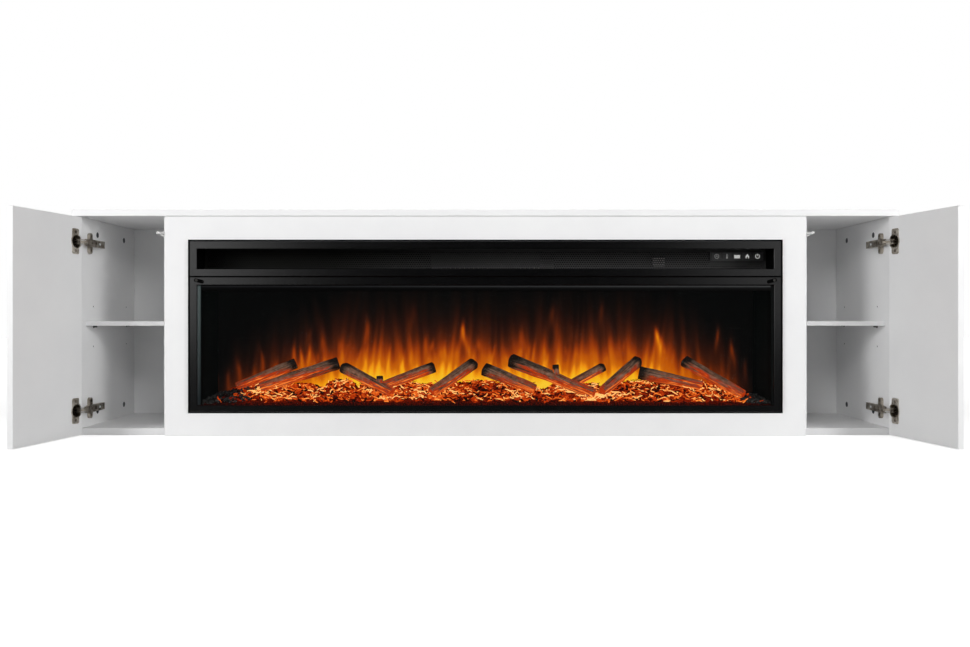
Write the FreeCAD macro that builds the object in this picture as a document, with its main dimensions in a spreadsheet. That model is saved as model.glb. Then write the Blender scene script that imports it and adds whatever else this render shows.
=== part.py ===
"""Electric fireplace mantel: a white cabinet with a long fireplace insert and two side cupboards.

Millimetres. +X is to the right, the front faces -Y and +Z is up. The origin is on the floor, at the
middle of the cabinet's footprint. The doors stand open, as they do when the cupboards are in use.
"""

import FreeCAD, Part
import math
import os
from types import SimpleNamespace

import Sketcher

SIZES = {
    # cabinet
    "overall_width": 2120,
    "overall_depth": 350,
    "overall_height": 580,
    "top_thickness": 16,
    "bottom_thickness": 18,
    "side_thickness": 16,
    "partition_thickness": 16,
    "surround_thickness": 18,
    "back_thickness": 3,
    "back_margin": 2,
    "edge_ease": 0.8,
    "rail_height": 80,
    "rail_thickness": 16,
    # fireplace surround
    "insert_width": 1522,
    "insert_height": 444,
    "surround_border": 60,
    "surround_floor_border": 59,
    "surround_top_gap": 1,
    "flange_overlap": 12,
    # shelves
    "shelf_thickness": 12,
    "shelf_top": 294,
    "shelf_setback": 41,
    "shelf_side_gap": 0.5,
    "shelf_pin_radius": 2.5,
    "shelf_pin_depth": 10,
    "shelf_pin_reach": 9,
    "shelf_pin_collar_radius": 4,
    "shelf_pin_collar": 1.5,
    "shelf_pin_front": 87,
    "shelf_pin_rear": 291,
    "shelf_hole_pitch": 53,
    # cam connectors
    "cam_radius": 7.5,
    "cam_depth": 12.5,
    "cam_edge": 34,
    "cam_drop": 39,
    "cam_front": 110,
    "cam_rear": 275,
    "cam_slot_width": 2,
    "cam_slot_depth": 1.5,
    # doors
    "door_thickness": 16,
    "door_gap": 2,
    "door_floor_gap": 2,
    "door_open_angle": 101.5,
    "door_edge_ease": 0.8,
    # concealed hinges, measured from the closed door's edge and inner face
    "hinge_inset": 64,
    "pole_edge": 8.74,
    "pole_depth": 10.98,
    "cup_edge": 21.5,
    "cup_radius": 17.5,
    "cup_wall": 1,
    "cup_depth": 12.3,
    "cup_floor": 0.7,
    "cup_bore_gap": 0.1,
    "cup_plate_height": 65,
    "cup_plate_width": 25,
    "cup_plate_thickness": 1.6,
    "cup_plate_radius": 5,
    "cup_plate_offset": 3.5,
    "cup_rim_lip": 1.5,
    "cup_gate_gap": 0.6,
    "inner_cup_pin_edge": 9.92,
    "inner_cup_pin_depth": 2.47,
    "outer_cup_pin_edge": 13.14,
    "outer_cup_pin_depth": 4.19,
    # hinge arm pins, measured from the side panel's inner face and front edge
    "inner_arm_pin_inset": 16.27,
    "inner_arm_pin_back": 1.36,
    "outer_arm_pin_inset": 16.39,
    "outer_arm_pin_ahead": 10.37,
    "hinge_pin_radius": 1,
    "hinge_pin_gap": 0.3,
    "link_eye_radius": 2,
    "link_bar_radius": 1.2,
    "knee_edge": 9.4,
    "knee_rise": 2.4,
    "knee_radius": 1.5,
    "nose_eye_radius": 1.9,
    "inner_link_width": 5,
    "lug_thickness": 1.2,
    "outer_link_thickness": 1.4,
    "layer_gap": 0.35,
    "arm_width": 18,
    "nose_width": 14.8,
    "arm_low": 9,
    "arm_high": 18.5,
    "arm_front": 8,
    "arm_length": 86,
    "arm_wall": 1.8,
    "plate_wing_height": 54,
    "plate_wing_width": 15,
    "plate_back": 41,
    "plate_thickness": 7.5,
    "plate_rail_length": 46,
    "plate_rail_width": 11,
    # push latches
    "latch_inset": 10.5,
    "latch_drop": 42.5,
    "latch_radius": 7,
    "latch_length": 62,
    "latch_setback": 24,
    "latch_foot_height": 30,
    "latch_foot_thickness": 3,
    "plunger_radius": 3,
    "plunger_tip_radius": 4,
    "plunger_tip_length": 7,
    "plunger_reach": 16,
    "plunger_tail": 24,
    "plunger_gap": 0.3,
    # insert front
    "flange_thickness": 1.5,
    "flange_lip": 4.6,
    "frame_bar": 24,
    "frame_depth": 6.5,
    "frame_ease": 1,
    "glass_sill": 20,
    "seam_height": 349,
    "seam_gap": 2,
    "middle_bar": 19,
    "glass_top_bar": 20,
    "glass_thickness": 4,
    "glass_lap": 5,
    "slot_length": 26,
    "slot_width": 9.5,
    "slot_tilt": 15,
    "slot_inset": 51,
    "slot_drop": 10,
    "slot_depth": 5,
    "slot_screw_radius": 3.4,
    # insert housing
    "housing_gap": 1,
    "housing_depth": 260,
    "sheet": 1.2,
    "tray_rise": 4,
    "grille_setback": 85,
    "grille_columns": 98,
    "grille_hole_pitch": 15,
    "grille_hole_width": 11,
    "grille_hole_height": 13,
    "grille_hole_rise": 17,
    # keys
    "key_count": 5,
    "key_pitch": 27,
    "key_width": 24,
    "key_height": 14,
    "key_centre": 668,
    "key_level": 407,
    "key_proud": 1.5,
    "key_body": 4,
    "key_travel": 1,
    "key_gap": 0.4,
    "key_ease": 0.6,
    "bezel_depth": 6,
    "bezel_margin": 4,
    "board_thickness": 1.6,
    "board_drop": 24,
    # heater
    "duct_width": 290,
    "duct_front": 4,
    "duct_depth": 110,
    "duct_height": 62,
    "duct_wall": 1.2,
    "outlet_height": 22,
    "wheel_radius": 21,
    "wheel_gap": 3,
    "wheel_disc": 2,
    "wheel_hub_radius": 3,
    "blade_count": 18,
    "blade_depth": 6,
    "blade_thickness": 1.2,
    "blower_motor_radius": 20,
    "blower_motor_length": 42,
    "element_depth": 12,
    "element_fins": 24,
    "fin_thickness": 1.5,
    # flame maker
    "screen_setback": 190,
    "screen_thickness": 2.5,
    "spindle_setback": 226,
    "spindle_level": 62,
    "spindle_radius": 4,
    "spindle_end": 60,
    "vane_count": 24,
    "vane_height": 14,
    "vane_thickness": 0.8,
    "vane_width": 30,
    "spindle_motor_radius": 16,
    "spindle_motor_length": 26,
    "bearing_size": 20,
    "shaft_gap": 0.35,
    "strip_setback": 206,
    "strip_height": 16,
    "strip_width": 1400,
    # fuel bed
    "bed_side_gap": 6,
    "bed_front": 8,
    "bed_lip": 12,
    "bed_middle": 96,
    "bed_middle_height": 34,
    "bed_back_height": 44,
    "bed_back_gap": 1,
    "log_foot_radius": 13,
    "log_gap": 0.3,
    "log_settling": 12,
    "branch_place": 0.15,
    "branch_radius": 7,
    "branch_tip_radius": 5,
    "branch_length": 30,
    # cord inlet
    "gland_radius": 9,
    "gland_flange_radius": 13,
    "gland_flange": 3,
    "gland_length": 14,
    "gland_inset": 110,
    "gland_drop": 60,
    "gland_bore": 4,
}

# The eleven logs: the foot's distance from the middle and setback, then the head's, with its rise
# above the floor of the chamber and its radius.
LOGS = {
    "left_logs": ((-667, 105, -519, 150, 105, 15), (-600, 85, -403, 150, 105, 18),
                  (-244, 45, -383, 115, 96, 17)),
    "middle_logs": ((-271, 95, -140, 140, 95, 15), (-142, 50, -31, 150, 105, 16),
                    (131, 70, -4, 110, 92, 18), (282, 32, 70, 150, 114, 19)),
    "right_logs": ((229, 120, 324, 160, 94, 15), (306, 50, 418, 150, 111, 17),
                   (577, 85, 414, 115, 81, 19), (674, 45, 544, 150, 111, 16)),
}
FORKED_LOGS = ("middle_logs_0", "right_logs_0")

doc = FreeCAD.newDocument("ElectricFireplaceMantel")
sheet = doc.addObject("Spreadsheet::Sheet", "dims")
for row, (alias, number) in enumerate(SIZES.items(), 1):
    sheet.set(f"A{row}", alias)
    sheet.set(f"B{row}", str(number))
    sheet.setAlias(f"B{row}", alias)
doc.recompute()


class Size:
    """A length or angle with its number and the sheet expression that it comes from."""

    def __init__(self, number, text):
        self.number = number
        self.text = text

    def __add__(self, other):
        other = as_size(other)
        return Size(self.number + other.number, f"({self.text} + {other.text})")

    def __sub__(self, other):
        other = as_size(other)
        return Size(self.number - other.number, f"({self.text} - {other.text})")

    def __mul__(self, other):
        other = as_size(other)
        return Size(self.number * other.number, f"({self.text} * {other.text})")

    def __truediv__(self, other):
        other = as_size(other)
        return Size(self.number / other.number, f"({self.text} / {other.text})")

    def __radd__(self, other):
        return as_size(other) + self

    def __rsub__(self, other):
        return as_size(other) - self

    def __rmul__(self, other):
        return as_size(other) * self

    def __neg__(self):
        return Size(-self.number, f"(-1 * {self.text})")


def as_size(value):
    return value if isinstance(value, Size) else Size(value, repr(value))


def cosine(angle):
    return Size(math.cos(math.radians(angle.number)), f"cos({angle.text} * 1 deg)")


def sine(angle):
    return Size(math.sin(math.radians(angle.number)), f"sin({angle.text} * 1 deg)")


def distance(across, along):
    return Size(math.hypot(across.number, along.number),
                f"sqrt({across.text} * {across.text} + {along.text} * {along.text})")


def direction(across, along):
    return Size(math.degrees(math.atan2(along.number, across.number)),
                f"atan2({along.text}; {across.text})")


d = SimpleNamespace(**{alias: Size(number, "dims." + alias) for alias, number in SIZES.items()})
sub_parts = []


# Helpers for bound features

def bind(thing, prop, value):
    thing.setExpression(prop, as_size(value).text)


def finish(thing, label):
    """Name a finished sub-part and keep it for export."""
    thing.Label = label
    sub_parts.append(thing)
    return thing


def place(thing, x=0, y=0, z=0, turn=None, axis=(0, 0, 1)):
    start = FreeCAD.Vector(*(as_size(v).number for v in (x, y, z)))
    angle = as_size(turn).number if turn is not None else 0
    thing.Placement = FreeCAD.Placement(start, FreeCAD.Rotation(FreeCAD.Vector(*axis), angle))
    for name, value in (("x", x), ("y", y), ("z", z)):
        bind(thing, f"Placement.Base.{name}", value)
    if turn is not None:
        bind(thing, "Placement.Rotation.Angle", turn)
    return thing


def block(name, x, y, z):
    """A box between pairs of faces: x, y and z are (low, high)."""
    thing = doc.addObject("Part::Box", name)
    for prop, (low, high) in (("Length", x), ("Width", y), ("Height", z)):
        bind(thing, prop, as_size(high) - low)
    return place(thing, x[0], y[0], z[0])


ROD_AXES = {"x": ((0, 1, 0), 90), "y": ((1, 0, 0), -90), "z": ((0, 0, 1), 0)}


def rod(name, axis, radius, start, length):
    """A cylinder that runs along +X, +Y or +Z from its start point."""
    thing = doc.addObject("Part::Cylinder", name)
    bind(thing, "Radius", radius)
    bind(thing, "Height", length)
    turn_axis, angle = ROD_AXES[axis]
    return place(thing, *start, turn=angle, axis=turn_axis)


def cut(name, base, *tools):
    thing = doc.addObject("Part::Cut", name)
    thing.Base = base
    thing.Tool = tools[0] if len(tools) == 1 else fuse(name + "_tools", *tools)
    return thing


def fuse(name, *pieces):
    thing = doc.addObject("Part::MultiFuse", name)
    thing.Shapes = list(pieces)
    thing.Refine = True
    return thing


def group(name, *pieces):
    thing = doc.addObject("Part::Compound", name)
    thing.Links = list(pieces)
    return thing


def mirrored(source, name):
    """The same piece on the other side of the middle of the cabinet."""
    thing = doc.addObject("Part::Mirroring", name)
    thing.Source = source
    thing.Base = FreeCAD.Vector(0, 0, 0)
    thing.Normal = FreeCAD.Vector(1, 0, 0)
    return thing


def new_sketch(body, plane, level):
    sketch = body.newObject("Sketcher::SketchObject", body.Name + "_sketch")
    origin_plane = next(f for f in body.Origin.OriginFeatures if f.Role == plane + "_Plane")
    sketch.AttachmentSupport = [(origin_plane, "")]
    sketch.MapMode = "FlatFace"
    # The XZ plane looks towards -Y, so its offset is measured the other way.
    bind(sketch, "AttachmentOffset.Base.z", -as_size(level) if plane == "XZ" else level)
    return sketch


def add_polygon(sketch, points):
    first = sketch.GeometryCount
    corners = [FreeCAD.Vector(as_size(a).number, as_size(b).number, 0) for a, b in points]
    for start, end in zip(corners, corners[1:] + corners[:1]):
        sketch.addGeometry(Part.LineSegment(start, end))
    for index, (a, b) in enumerate(points):
        line = first + index
        following = first + (index + 1) % len(points)
        sketch.addConstraint(Sketcher.Constraint("Coincident", line, 2, following, 1))
        for kind, value in (("DistanceX", a), ("DistanceY", b)):
            number = sketch.addConstraint(
                Sketcher.Constraint(kind, -1, 1, line, 1, as_size(value).number))
            bind(sketch, f"Constraints[{number}]", value)


def add_circle(sketch, a, b, radius):
    centre = FreeCAD.Vector(as_size(a).number, as_size(b).number, 0)
    ring = sketch.addGeometry(Part.Circle(centre, FreeCAD.Vector(0, 0, 1), as_size(radius).number))
    number = sketch.addConstraint(Sketcher.Constraint("Radius", ring, as_size(radius).number))
    bind(sketch, f"Constraints[{number}]", radius)
    for kind, value in (("DistanceX", a), ("DistanceY", b)):
        number = sketch.addConstraint(
            Sketcher.Constraint(kind, -1, 1, ring, 3, as_size(value).number))
        bind(sketch, f"Constraints[{number}]", value)


def rectangle(a0, a1, b0, b1):
    return [(a0, b0), (a1, b0), (a1, b1), (a0, b1)]


def extrude(body, plane, level, length, outlines=(), circles=(), pocket=False):
    """Pad or pocket a sketch from a level: pads grow along the plane's positive axis."""
    sketch = new_sketch(body, plane, level)
    for points in outlines:
        add_polygon(sketch, points)
    for circle in circles:
        add_circle(sketch, *circle)
    kind = "PartDesign::Pocket" if pocket else "PartDesign::Pad"
    feature = body.newObject(kind, body.Name + ("_pocket" if pocket else "_pad"))
    feature.Profile = sketch
    feature.Reversed = plane == "XZ" and not pocket
    bind(feature, "Length", length)
    sketch.Visibility = False
    body.Tip = feature
    return feature


def new_body(name):
    body = doc.addObject("PartDesign::Body", name)
    return body


def ease_edges(body, width):
    """Break every sharp edge of a finished board or bar."""
    doc.recompute()
    base = body.Tip
    feature = body.newObject("PartDesign::Chamfer", body.Name + "_eased")
    feature.Base = (base, [f"Edge{i + 1}" for i in range(len(base.Shape.Edges))])
    bind(feature, "Size", width)
    body.Tip = feature
    return feature


def board(name, x, y, z, ease=d.edge_ease):
    """A panel with lightly broken edges, between pairs of faces."""
    body = new_body(name)
    extrude(body, "XY", z[0], as_size(z[1]) - z[0], [rectangle(*x, *y)])
    ease_edges(body, ease)
    return body


def strap(name, start, end, radius, z):
    """A bar with round ends, drawn in plan from pin to pin."""
    (x0, y0), (x1, y1) = start, end
    across, along = x1 - x0, y1 - y0
    length = distance(across, along)
    height = as_size(z[1]) - z[0]
    bar = doc.addObject("Part::Box", name + "_bar")
    bind(bar, "Length", length)
    bind(bar, "Width", radius * 2)
    bind(bar, "Height", height)
    place(bar, 0, -radius, 0)
    near = rod(name + "_near", "z", radius, (0, 0, 0), height)
    far = rod(name + "_far", "z", radius, (length, 0, 0), height)
    whole = fuse(name + "_outline", bar, near, far)
    return place(whole, x0, y0, z[0], turn=direction(across, along))


# Main planes and levels of the cabinet

half_width = d.overall_width / 2
front = -d.overall_depth / 2
rear = d.overall_depth / 2 - d.back_thickness
carcass_front = front + d.surround_thickness
under_top = d.overall_height - d.top_thickness
side_inner = half_width - d.side_thickness
surround_half = d.insert_width / 2 + d.surround_border
partition_middle = surround_half + d.door_gap / 2
partition_outer = partition_middle + d.partition_thickness / 2
partition_inner = partition_middle - d.partition_thickness / 2
carcass_y = (carcass_front, rear)
upright_z = (d.bottom_thickness, under_top)
shelf_under = d.shelf_top - d.shelf_thickness
pin_level = shelf_under - d.shelf_pin_radius
pin_rows = (front + d.shelf_pin_front, front + d.shelf_pin_rear)
cam_rows = (front + d.cam_front, front + d.cam_rear)
cam_levels = (d.bottom_thickness + d.cam_edge, under_top - d.cam_drop)

# Cabinet boards

finish(board("top_panel", (-half_width, half_width), (front, rear), (under_top, d.overall_height)),
       "top_panel")
finish(board("bottom_panel", (-half_width, half_width), carcass_y, (0, d.bottom_thickness)),
       "bottom_panel")


def upright(name, low, high, bored_face):
    """A left-hand upright, bored for cams and shelf pins in the face that looks into the cupboard."""
    body = board(name, (low, high), carcass_y, upright_z)
    cams = [(y, z, d.cam_radius) for y in cam_rows for z in cam_levels]
    pins = [(y, pin_level + step * d.shelf_hole_pitch, d.shelf_pin_radius)
            for y in pin_rows for step in (-1, 0, 1)]
    for circles, depth in ((cams, d.cam_depth), (pins, d.shelf_pin_depth)):
        feature = extrude(body, "YZ", bored_face, depth, circles=circles, pocket=True)
        feature.Reversed = bored_face is low
    return body


left_side = finish(upright("left_side_panel", -half_width, -side_inner, -side_inner),
                   "left_side_panel")
finish(mirrored(left_side, "right_side_panel"), "right_side_panel")
partition_faces = (-partition_outer, -partition_inner)
left_partition = finish(upright("left_partition", *partition_faces, partition_faces[0]),
                        "left_partition")
finish(mirrored(left_partition, "right_partition"), "right_partition")

insert_floor = d.surround_floor_border
insert_top = insert_floor + d.insert_height
insert_half = d.insert_width / 2
opening_half = insert_half - d.flange_overlap
opening_z = (insert_floor + d.flange_overlap, insert_top - d.flange_overlap)
surround_top = under_top - d.surround_top_gap

surround = new_body("front_surround")
extrude(surround, "XZ", front, d.surround_thickness, [
    rectangle(-surround_half, surround_half, 0, surround_top),
    rectangle(-opening_half, opening_half, *opening_z),
])
ease_edges(surround, d.edge_ease)
finish(surround, "front_surround")

left_back = block("left_back_panel", (-half_width + d.back_margin, -partition_inner - d.back_margin),
                  (rear, rear + d.back_thickness),
                  (d.back_margin, d.overall_height - d.back_margin))
finish(left_back, "left_back_panel")
finish(mirrored(left_back, "right_back_panel"), "right_back_panel")
finish(board("rear_rail", (-partition_inner, partition_inner), (rear - d.rail_thickness, rear),
             (under_top - d.rail_height, under_top)), "rear_rail")

# Shelves, their pins and the cam connectors

left_shelf = board("left_shelf", (-side_inner + d.shelf_side_gap, -partition_outer - d.shelf_side_gap),
                   (front + d.shelf_setback, rear), (shelf_under, d.shelf_top))
finish(left_shelf, "left_shelf")
finish(mirrored(left_shelf, "right_shelf"), "right_shelf")


def shelf_pin(name, face, into, y):
    """A pin pressed into an upright: face is its bored side, into is the way the hole runs."""
    if into < 0:
        spans = (face - d.shelf_pin_depth, face, face)
    else:
        spans = (face - d.shelf_pin_reach, face - d.shelf_pin_collar, face - d.shelf_pin_reach)
    body_length = d.shelf_pin_depth + d.shelf_pin_reach
    shank = rod(name + "_shank", "x", d.shelf_pin_radius, (spans[0], y, pin_level), body_length)
    collar_cut = block(name + "_flat", (spans[1] - d.shelf_pin_collar, spans[1] + d.shelf_pin_collar * 2),
                       (y - d.shelf_pin_collar_radius, y + d.shelf_pin_collar_radius),
                       (pin_level + d.shelf_pin_radius,
                        pin_level + d.shelf_pin_radius + d.shelf_pin_collar_radius))
    collar = rod(name + "_collar", "x", d.shelf_pin_collar_radius, (spans[1], y, pin_level),
                 d.shelf_pin_collar)
    return fuse(name, shank, cut(name + "_seat", collar, collar_cut))


left_pins = [shelf_pin(f"shelf_pin_{side}_{row}", face, into, y)
             for side, face, into in (("side", -side_inner, -1), ("partition", -partition_outer, 1))
             for row, y in enumerate(pin_rows)]
left_pin_set = group("left_shelf_pins", *left_pins)
finish(group("shelf_pins", left_pin_set, mirrored(left_pin_set, "right_shelf_pins")), "shelf_pins")


def cam(name, face, into, y, z):
    """A cam that fills its bore, with a cross slot in the face that shows."""
    start = face - d.cam_depth if into < 0 else face
    barrel = rod(name + "_barrel", "x", d.cam_radius, (start, y, z), d.cam_depth)
    slot_x = (face - d.cam_slot_depth, face) if into < 0 else (face, face + d.cam_slot_depth)
    reach = d.cam_radius * 0.6
    half = d.cam_slot_width / 2
    flat = block(name + "_flat_slot", slot_x, (y - reach, y + reach), (z - half, z + half))
    upright_slot = block(name + "_upright_slot", slot_x, (y - half, y + half), (z - reach, z + reach))
    return cut(name, barrel, flat, upright_slot)


left_cams = [cam(f"cam_{side}_{row}_{level}", face, into, y, z)
             for side, face, into in (("side", -side_inner, -1), ("partition", -partition_outer, 1))
             for row, y in enumerate(cam_rows) for level, z in enumerate(cam_levels)]
left_cam_set = group("left_cams", *left_cams)
finish(group("connector_cams", left_cam_set, mirrored(left_cam_set, "right_cams")), "connector_cams")

# Doors. Each is drawn closed, about the pole of its swing, and then turned open.

door_width = half_width - surround_half - d.door_gap
door_z = (d.door_floor_gap, under_top - d.door_gap)
pole_x = -half_width + d.pole_edge
pole_y = front + d.door_thickness - d.pole_depth
hinge_levels = (door_z[0] + d.hinge_inset, door_z[1] - d.hinge_inset)
inner_face = d.pole_depth
cup_x = d.cup_edge - d.pole_edge


def turned_open(thing):
    return place(thing, pole_x, pole_y, 0, turn=d.door_open_angle, axis=(0, 0, -1))


def opened(edge, depth):
    """Where a point of the closed door, given from its edge and inner face, lies on the open door."""
    across, along = edge - d.pole_edge, d.pole_depth - depth
    c, s = cosine(d.door_open_angle), sine(d.door_open_angle)
    return pole_x + across * c + along * s, pole_y - across * s + along * c


left_door = board("left_door", (-d.pole_edge, door_width - d.pole_edge),
                  (d.pole_depth - d.door_thickness, inner_face), door_z, d.door_edge_ease)
door_bores = extrude(left_door, "XZ", inner_face, d.cup_depth + d.cup_bore_gap,
                     circles=[(cup_x, z, d.cup_radius + d.cup_bore_gap) for z in hinge_levels],
                     pocket=True)
door_bores.Reversed = True
finish(turned_open(left_door), "left_door")
finish(mirrored(left_door, "right_door"), "right_door")

# Hinge cups with their inner pins

link_half = d.inner_link_width / 2
lug_z = (link_half + d.layer_gap, link_half + d.layer_gap + d.lug_thickness)
outer_z = (lug_z[1] + d.layer_gap, lug_z[1] + d.layer_gap + d.outer_link_thickness)
cheek_z = (outer_z[1] + d.layer_gap, d.nose_width / 2)
bore_radius = d.cup_radius - d.cup_wall
cup_floor_y = inner_face - d.cup_depth + d.cup_floor
pin_x = d.inner_cup_pin_edge - d.pole_edge
pin_y = inner_face - d.inner_cup_pin_depth


def hinge_cup(name, z):
    well = rod(name + "_well", "y", d.cup_radius, (cup_x, inner_face - d.cup_depth, z), d.cup_depth)
    plate = new_body(name + "_plate")
    half_plate = d.cup_plate_width / 2
    plate_x = cup_x + d.cup_plate_offset
    extrude(plate, "XZ", inner_face, d.cup_plate_thickness, [rectangle(
        plate_x - half_plate, plate_x + half_plate, z - d.cup_plate_height / 2, z + d.cup_plate_height / 2)])
    doc.recompute()
    flat_plate = plate.Tip
    corners = [f"Edge{i + 1}" for i, edge in enumerate(flat_plate.Shape.Edges)
               if abs(edge.tangentAt(edge.FirstParameter).y) > 0.9]
    rounding = plate.newObject("PartDesign::Fillet", name + "_corners")
    rounding.Base = (flat_plate, corners)
    bind(rounding, "Radius", d.cup_plate_radius)
    plate.Tip = rounding
    rim_radius = d.cup_radius + d.cup_rim_lip
    rim = rod(name + "_rim", "y", rim_radius, (cup_x, inner_face, z), d.cup_plate_thickness)
    gate_half = d.nose_width / 2 + d.cup_gate_gap
    gate = block(name + "_gate", (cup_x - rim_radius, cup_x),
                 (inner_face, inner_face + d.cup_plate_thickness), (z - gate_half, z + gate_half))
    hollow = rod(name + "_hollow", "y", bore_radius, (cup_x, cup_floor_y, z), d.cup_depth * 2)
    lugs = []
    for side in (-1, 1):
        low = z + side * lug_z[0] if side > 0 else z - lug_z[1]
        lugs.append(strap(f"{name}_lug_{'up' if side > 0 else 'down'}",
                          (as_size(pin_x), pin_y), (as_size(pin_x) + d.link_eye_radius / 4,
                                                    cup_floor_y - d.cup_floor / 2),
                          d.link_eye_radius, (low, low + d.lug_thickness)))
    lug_trim = rod(name + "_trim", "y", bore_radius + d.cup_wall / 2,
                   (cup_x, cup_floor_y - d.cup_floor / 2, z), d.cup_depth)
    lug_pair = doc.addObject("Part::Common", name + "_lugs")
    lug_pair.Base = fuse(name + "_lug_pair", *lugs)
    lug_pair.Tool = lug_trim
    shell = cut(name + "_shell", fuse(name + "_solid", well, plate, rim), hollow, gate)
    pin_hole = rod(name + "_pin_hole", "z", d.hinge_pin_radius, (pin_x, pin_y, z - lug_z[1]), lug_z[1] * 2)
    pin = rod(name + "_pin", "z", d.hinge_pin_radius, (pin_x, pin_y, z - lug_z[1]), lug_z[1] * 2)
    return cut(name, fuse(name + "_cup", shell, lug_pair), pin_hole), pin


cup_pieces = [piece for level, z in enumerate(hinge_levels) for piece in hinge_cup(f"cup_{level}", z)]
left_cups = finish(turned_open(group("left_hinge_cups", *cup_pieces)), "left_hinge_cups")
finish(mirrored(left_cups, "right_hinge_cups"), "right_hinge_cups")

# Hinge arms, plates and links, on the left side panel

arm_pin_inner = (-side_inner + d.inner_arm_pin_inset, carcass_front + d.inner_arm_pin_back)
arm_pin_outer = (-side_inner + d.outer_arm_pin_inset, carcass_front - d.outer_arm_pin_ahead)
cup_pin_inner = opened(d.inner_cup_pin_edge, d.inner_cup_pin_depth)
cup_pin_outer = opened(d.outer_cup_pin_edge, d.outer_cup_pin_depth)
link_knee = opened(d.knee_edge, -d.knee_rise)
arm_x = (-side_inner + d.arm_low, -side_inner + d.arm_high)
arm_y = (carcass_front + d.arm_front, carcass_front + d.arm_front + d.arm_length)
hole_radius = d.hinge_pin_radius + d.hinge_pin_gap


def both_sides(z, span):
    """The same layer above and below the middle of a hinge."""
    return ((z + span[0], z + span[1]), (z - span[1], z - span[0]))


def pin_through(name, spot, radius, z):
    return rod(name, "z", radius, (spot[0], spot[1], z[0]), z[1] - z[0])


def hinge_arm(name, z):
    """A channel on the mounting plate, with a forked nose that holds the two arm pins."""
    half = d.arm_width / 2
    outside = block(name + "_outside", arm_x, arm_y, (z - half, z + half))
    inside = block(name + "_inside", (arm_x[0], arm_x[1] - d.arm_wall),
                   (arm_y[0] + d.arm_length / 5, arm_y[1] - d.arm_wall),
                   (z - half + d.arm_wall, z + half - d.arm_wall))
    slot = block(name + "_slot", (arm_x[1] - d.arm_wall, arm_x[1]),
                 (arm_y[0] + d.arm_length * 0.62, arm_y[0] + d.arm_length * 0.78),
                 (z - half / 3, z + half / 3))
    root = (arm_pin_outer[0], arm_y[0] + d.nose_eye_radius)
    inner_root = (arm_pin_inner[0], arm_y[0] + d.nose_eye_radius)
    nose = []
    for index, layer in enumerate(both_sides(z, cheek_z)):
        nose.append(strap(f"{name}_cheek_{index}", arm_pin_outer, root, d.nose_eye_radius, layer))
    for index, layer in enumerate(both_sides(z, lug_z)):
        nose.append(strap(f"{name}_lug_{index}", arm_pin_inner, inner_root, d.nose_eye_radius, layer))
    channel = cut(name + "_channel", outside, inside, slot)
    whole = fuse(name + "_whole", channel, *nose)
    inner_span = (z - lug_z[1], z + lug_z[1])
    inner_pin = pin_through(name + "_inner_pin", arm_pin_inner, d.hinge_pin_radius, inner_span)
    holes = [pin_through(name + "_inner_hole", arm_pin_inner, d.hinge_pin_radius, inner_span)]
    stubs = []
    for index, layer in enumerate(both_sides(z, (outer_z[0], cheek_z[1]))):
        holes.append(pin_through(f"{name}_outer_hole_{index}", arm_pin_outer, d.hinge_pin_radius, layer))
        stubs.append(pin_through(f"{name}_outer_pin_{index}", arm_pin_outer, d.hinge_pin_radius, layer))
    return [cut(name, whole, *holes), inner_pin, *stubs]


def hinge_plate(name, z):
    """A cross-shaped plate screwed to the side panel, with the rail that carries the arm."""
    middle = carcass_front + d.plate_back
    x = (-side_inner, -side_inner + d.plate_thickness)
    wing_half = d.plate_wing_width / 2
    straight = d.plate_wing_height / 2 - wing_half
    wing = block(name + "_wing", x, (middle - wing_half, middle + wing_half), (z - straight, z + straight))
    ends = [rod(f"{name}_end_{index}", "x", wing_half, (x[0], middle, level), d.plate_thickness)
            for index, level in enumerate((z - straight, z + straight))]
    rail = block(name + "_rail", (-side_inner, arm_x[0]),
                 (middle - d.plate_rail_length / 2, middle + d.plate_rail_length / 2),
                 (z - d.plate_rail_width / 2, z + d.plate_rail_width / 2))
    return fuse(name, wing, rail, *ends)


def link(name, path, bar_radius, layer, bored_ends):
    """A link in one layer of the hinge: bars along a path, an eye at each end, bored for its pins."""
    bars = [strap(f"{name}_bar_{index}", start, end, bar_radius, layer)
            for index, (start, end) in enumerate(zip(path, path[1:]))]
    eyes = [pin_through(f"{name}_eye_{index}", spot, d.link_eye_radius, layer)
            for index, spot in enumerate((path[0], path[-1]))]
    holes = [pin_through(f"{name}_hole_{index}", spot, hole_radius, layer)
             for index, spot in enumerate(bored_ends)]
    return cut(name, fuse(name + "_bars", *bars, *eyes), *holes)


arms, plates, inner_links, outer_links = [], [], [], []
for level, z in enumerate(hinge_levels):
    arms += hinge_arm(f"arm_{level}", z)
    plates.append(hinge_plate(f"plate_{level}", z))
    inner_links.append(link(f"inner_link_{level}", (arm_pin_inner, link_knee, cup_pin_inner),
                            d.knee_radius, (z - link_half, z + link_half),
                            (arm_pin_inner, cup_pin_inner)))
    for index, layer in enumerate(both_sides(z, outer_z)):
        outer_links.append(link(f"outer_link_{level}_{index}", (arm_pin_outer, cup_pin_outer),
                                d.link_bar_radius, layer, (arm_pin_outer,)))
for name, pieces in (("hinge_plates", plates), ("hinge_arms", arms),
                     ("hinge_inner_links", inner_links), ("hinge_outer_links", outer_links)):
    left_set = finish(group("left_" + name, *pieces), "left_" + name)
    finish(mirrored(left_set, "right_" + name), "right_" + name)

# Push latches on the partitions

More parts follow.
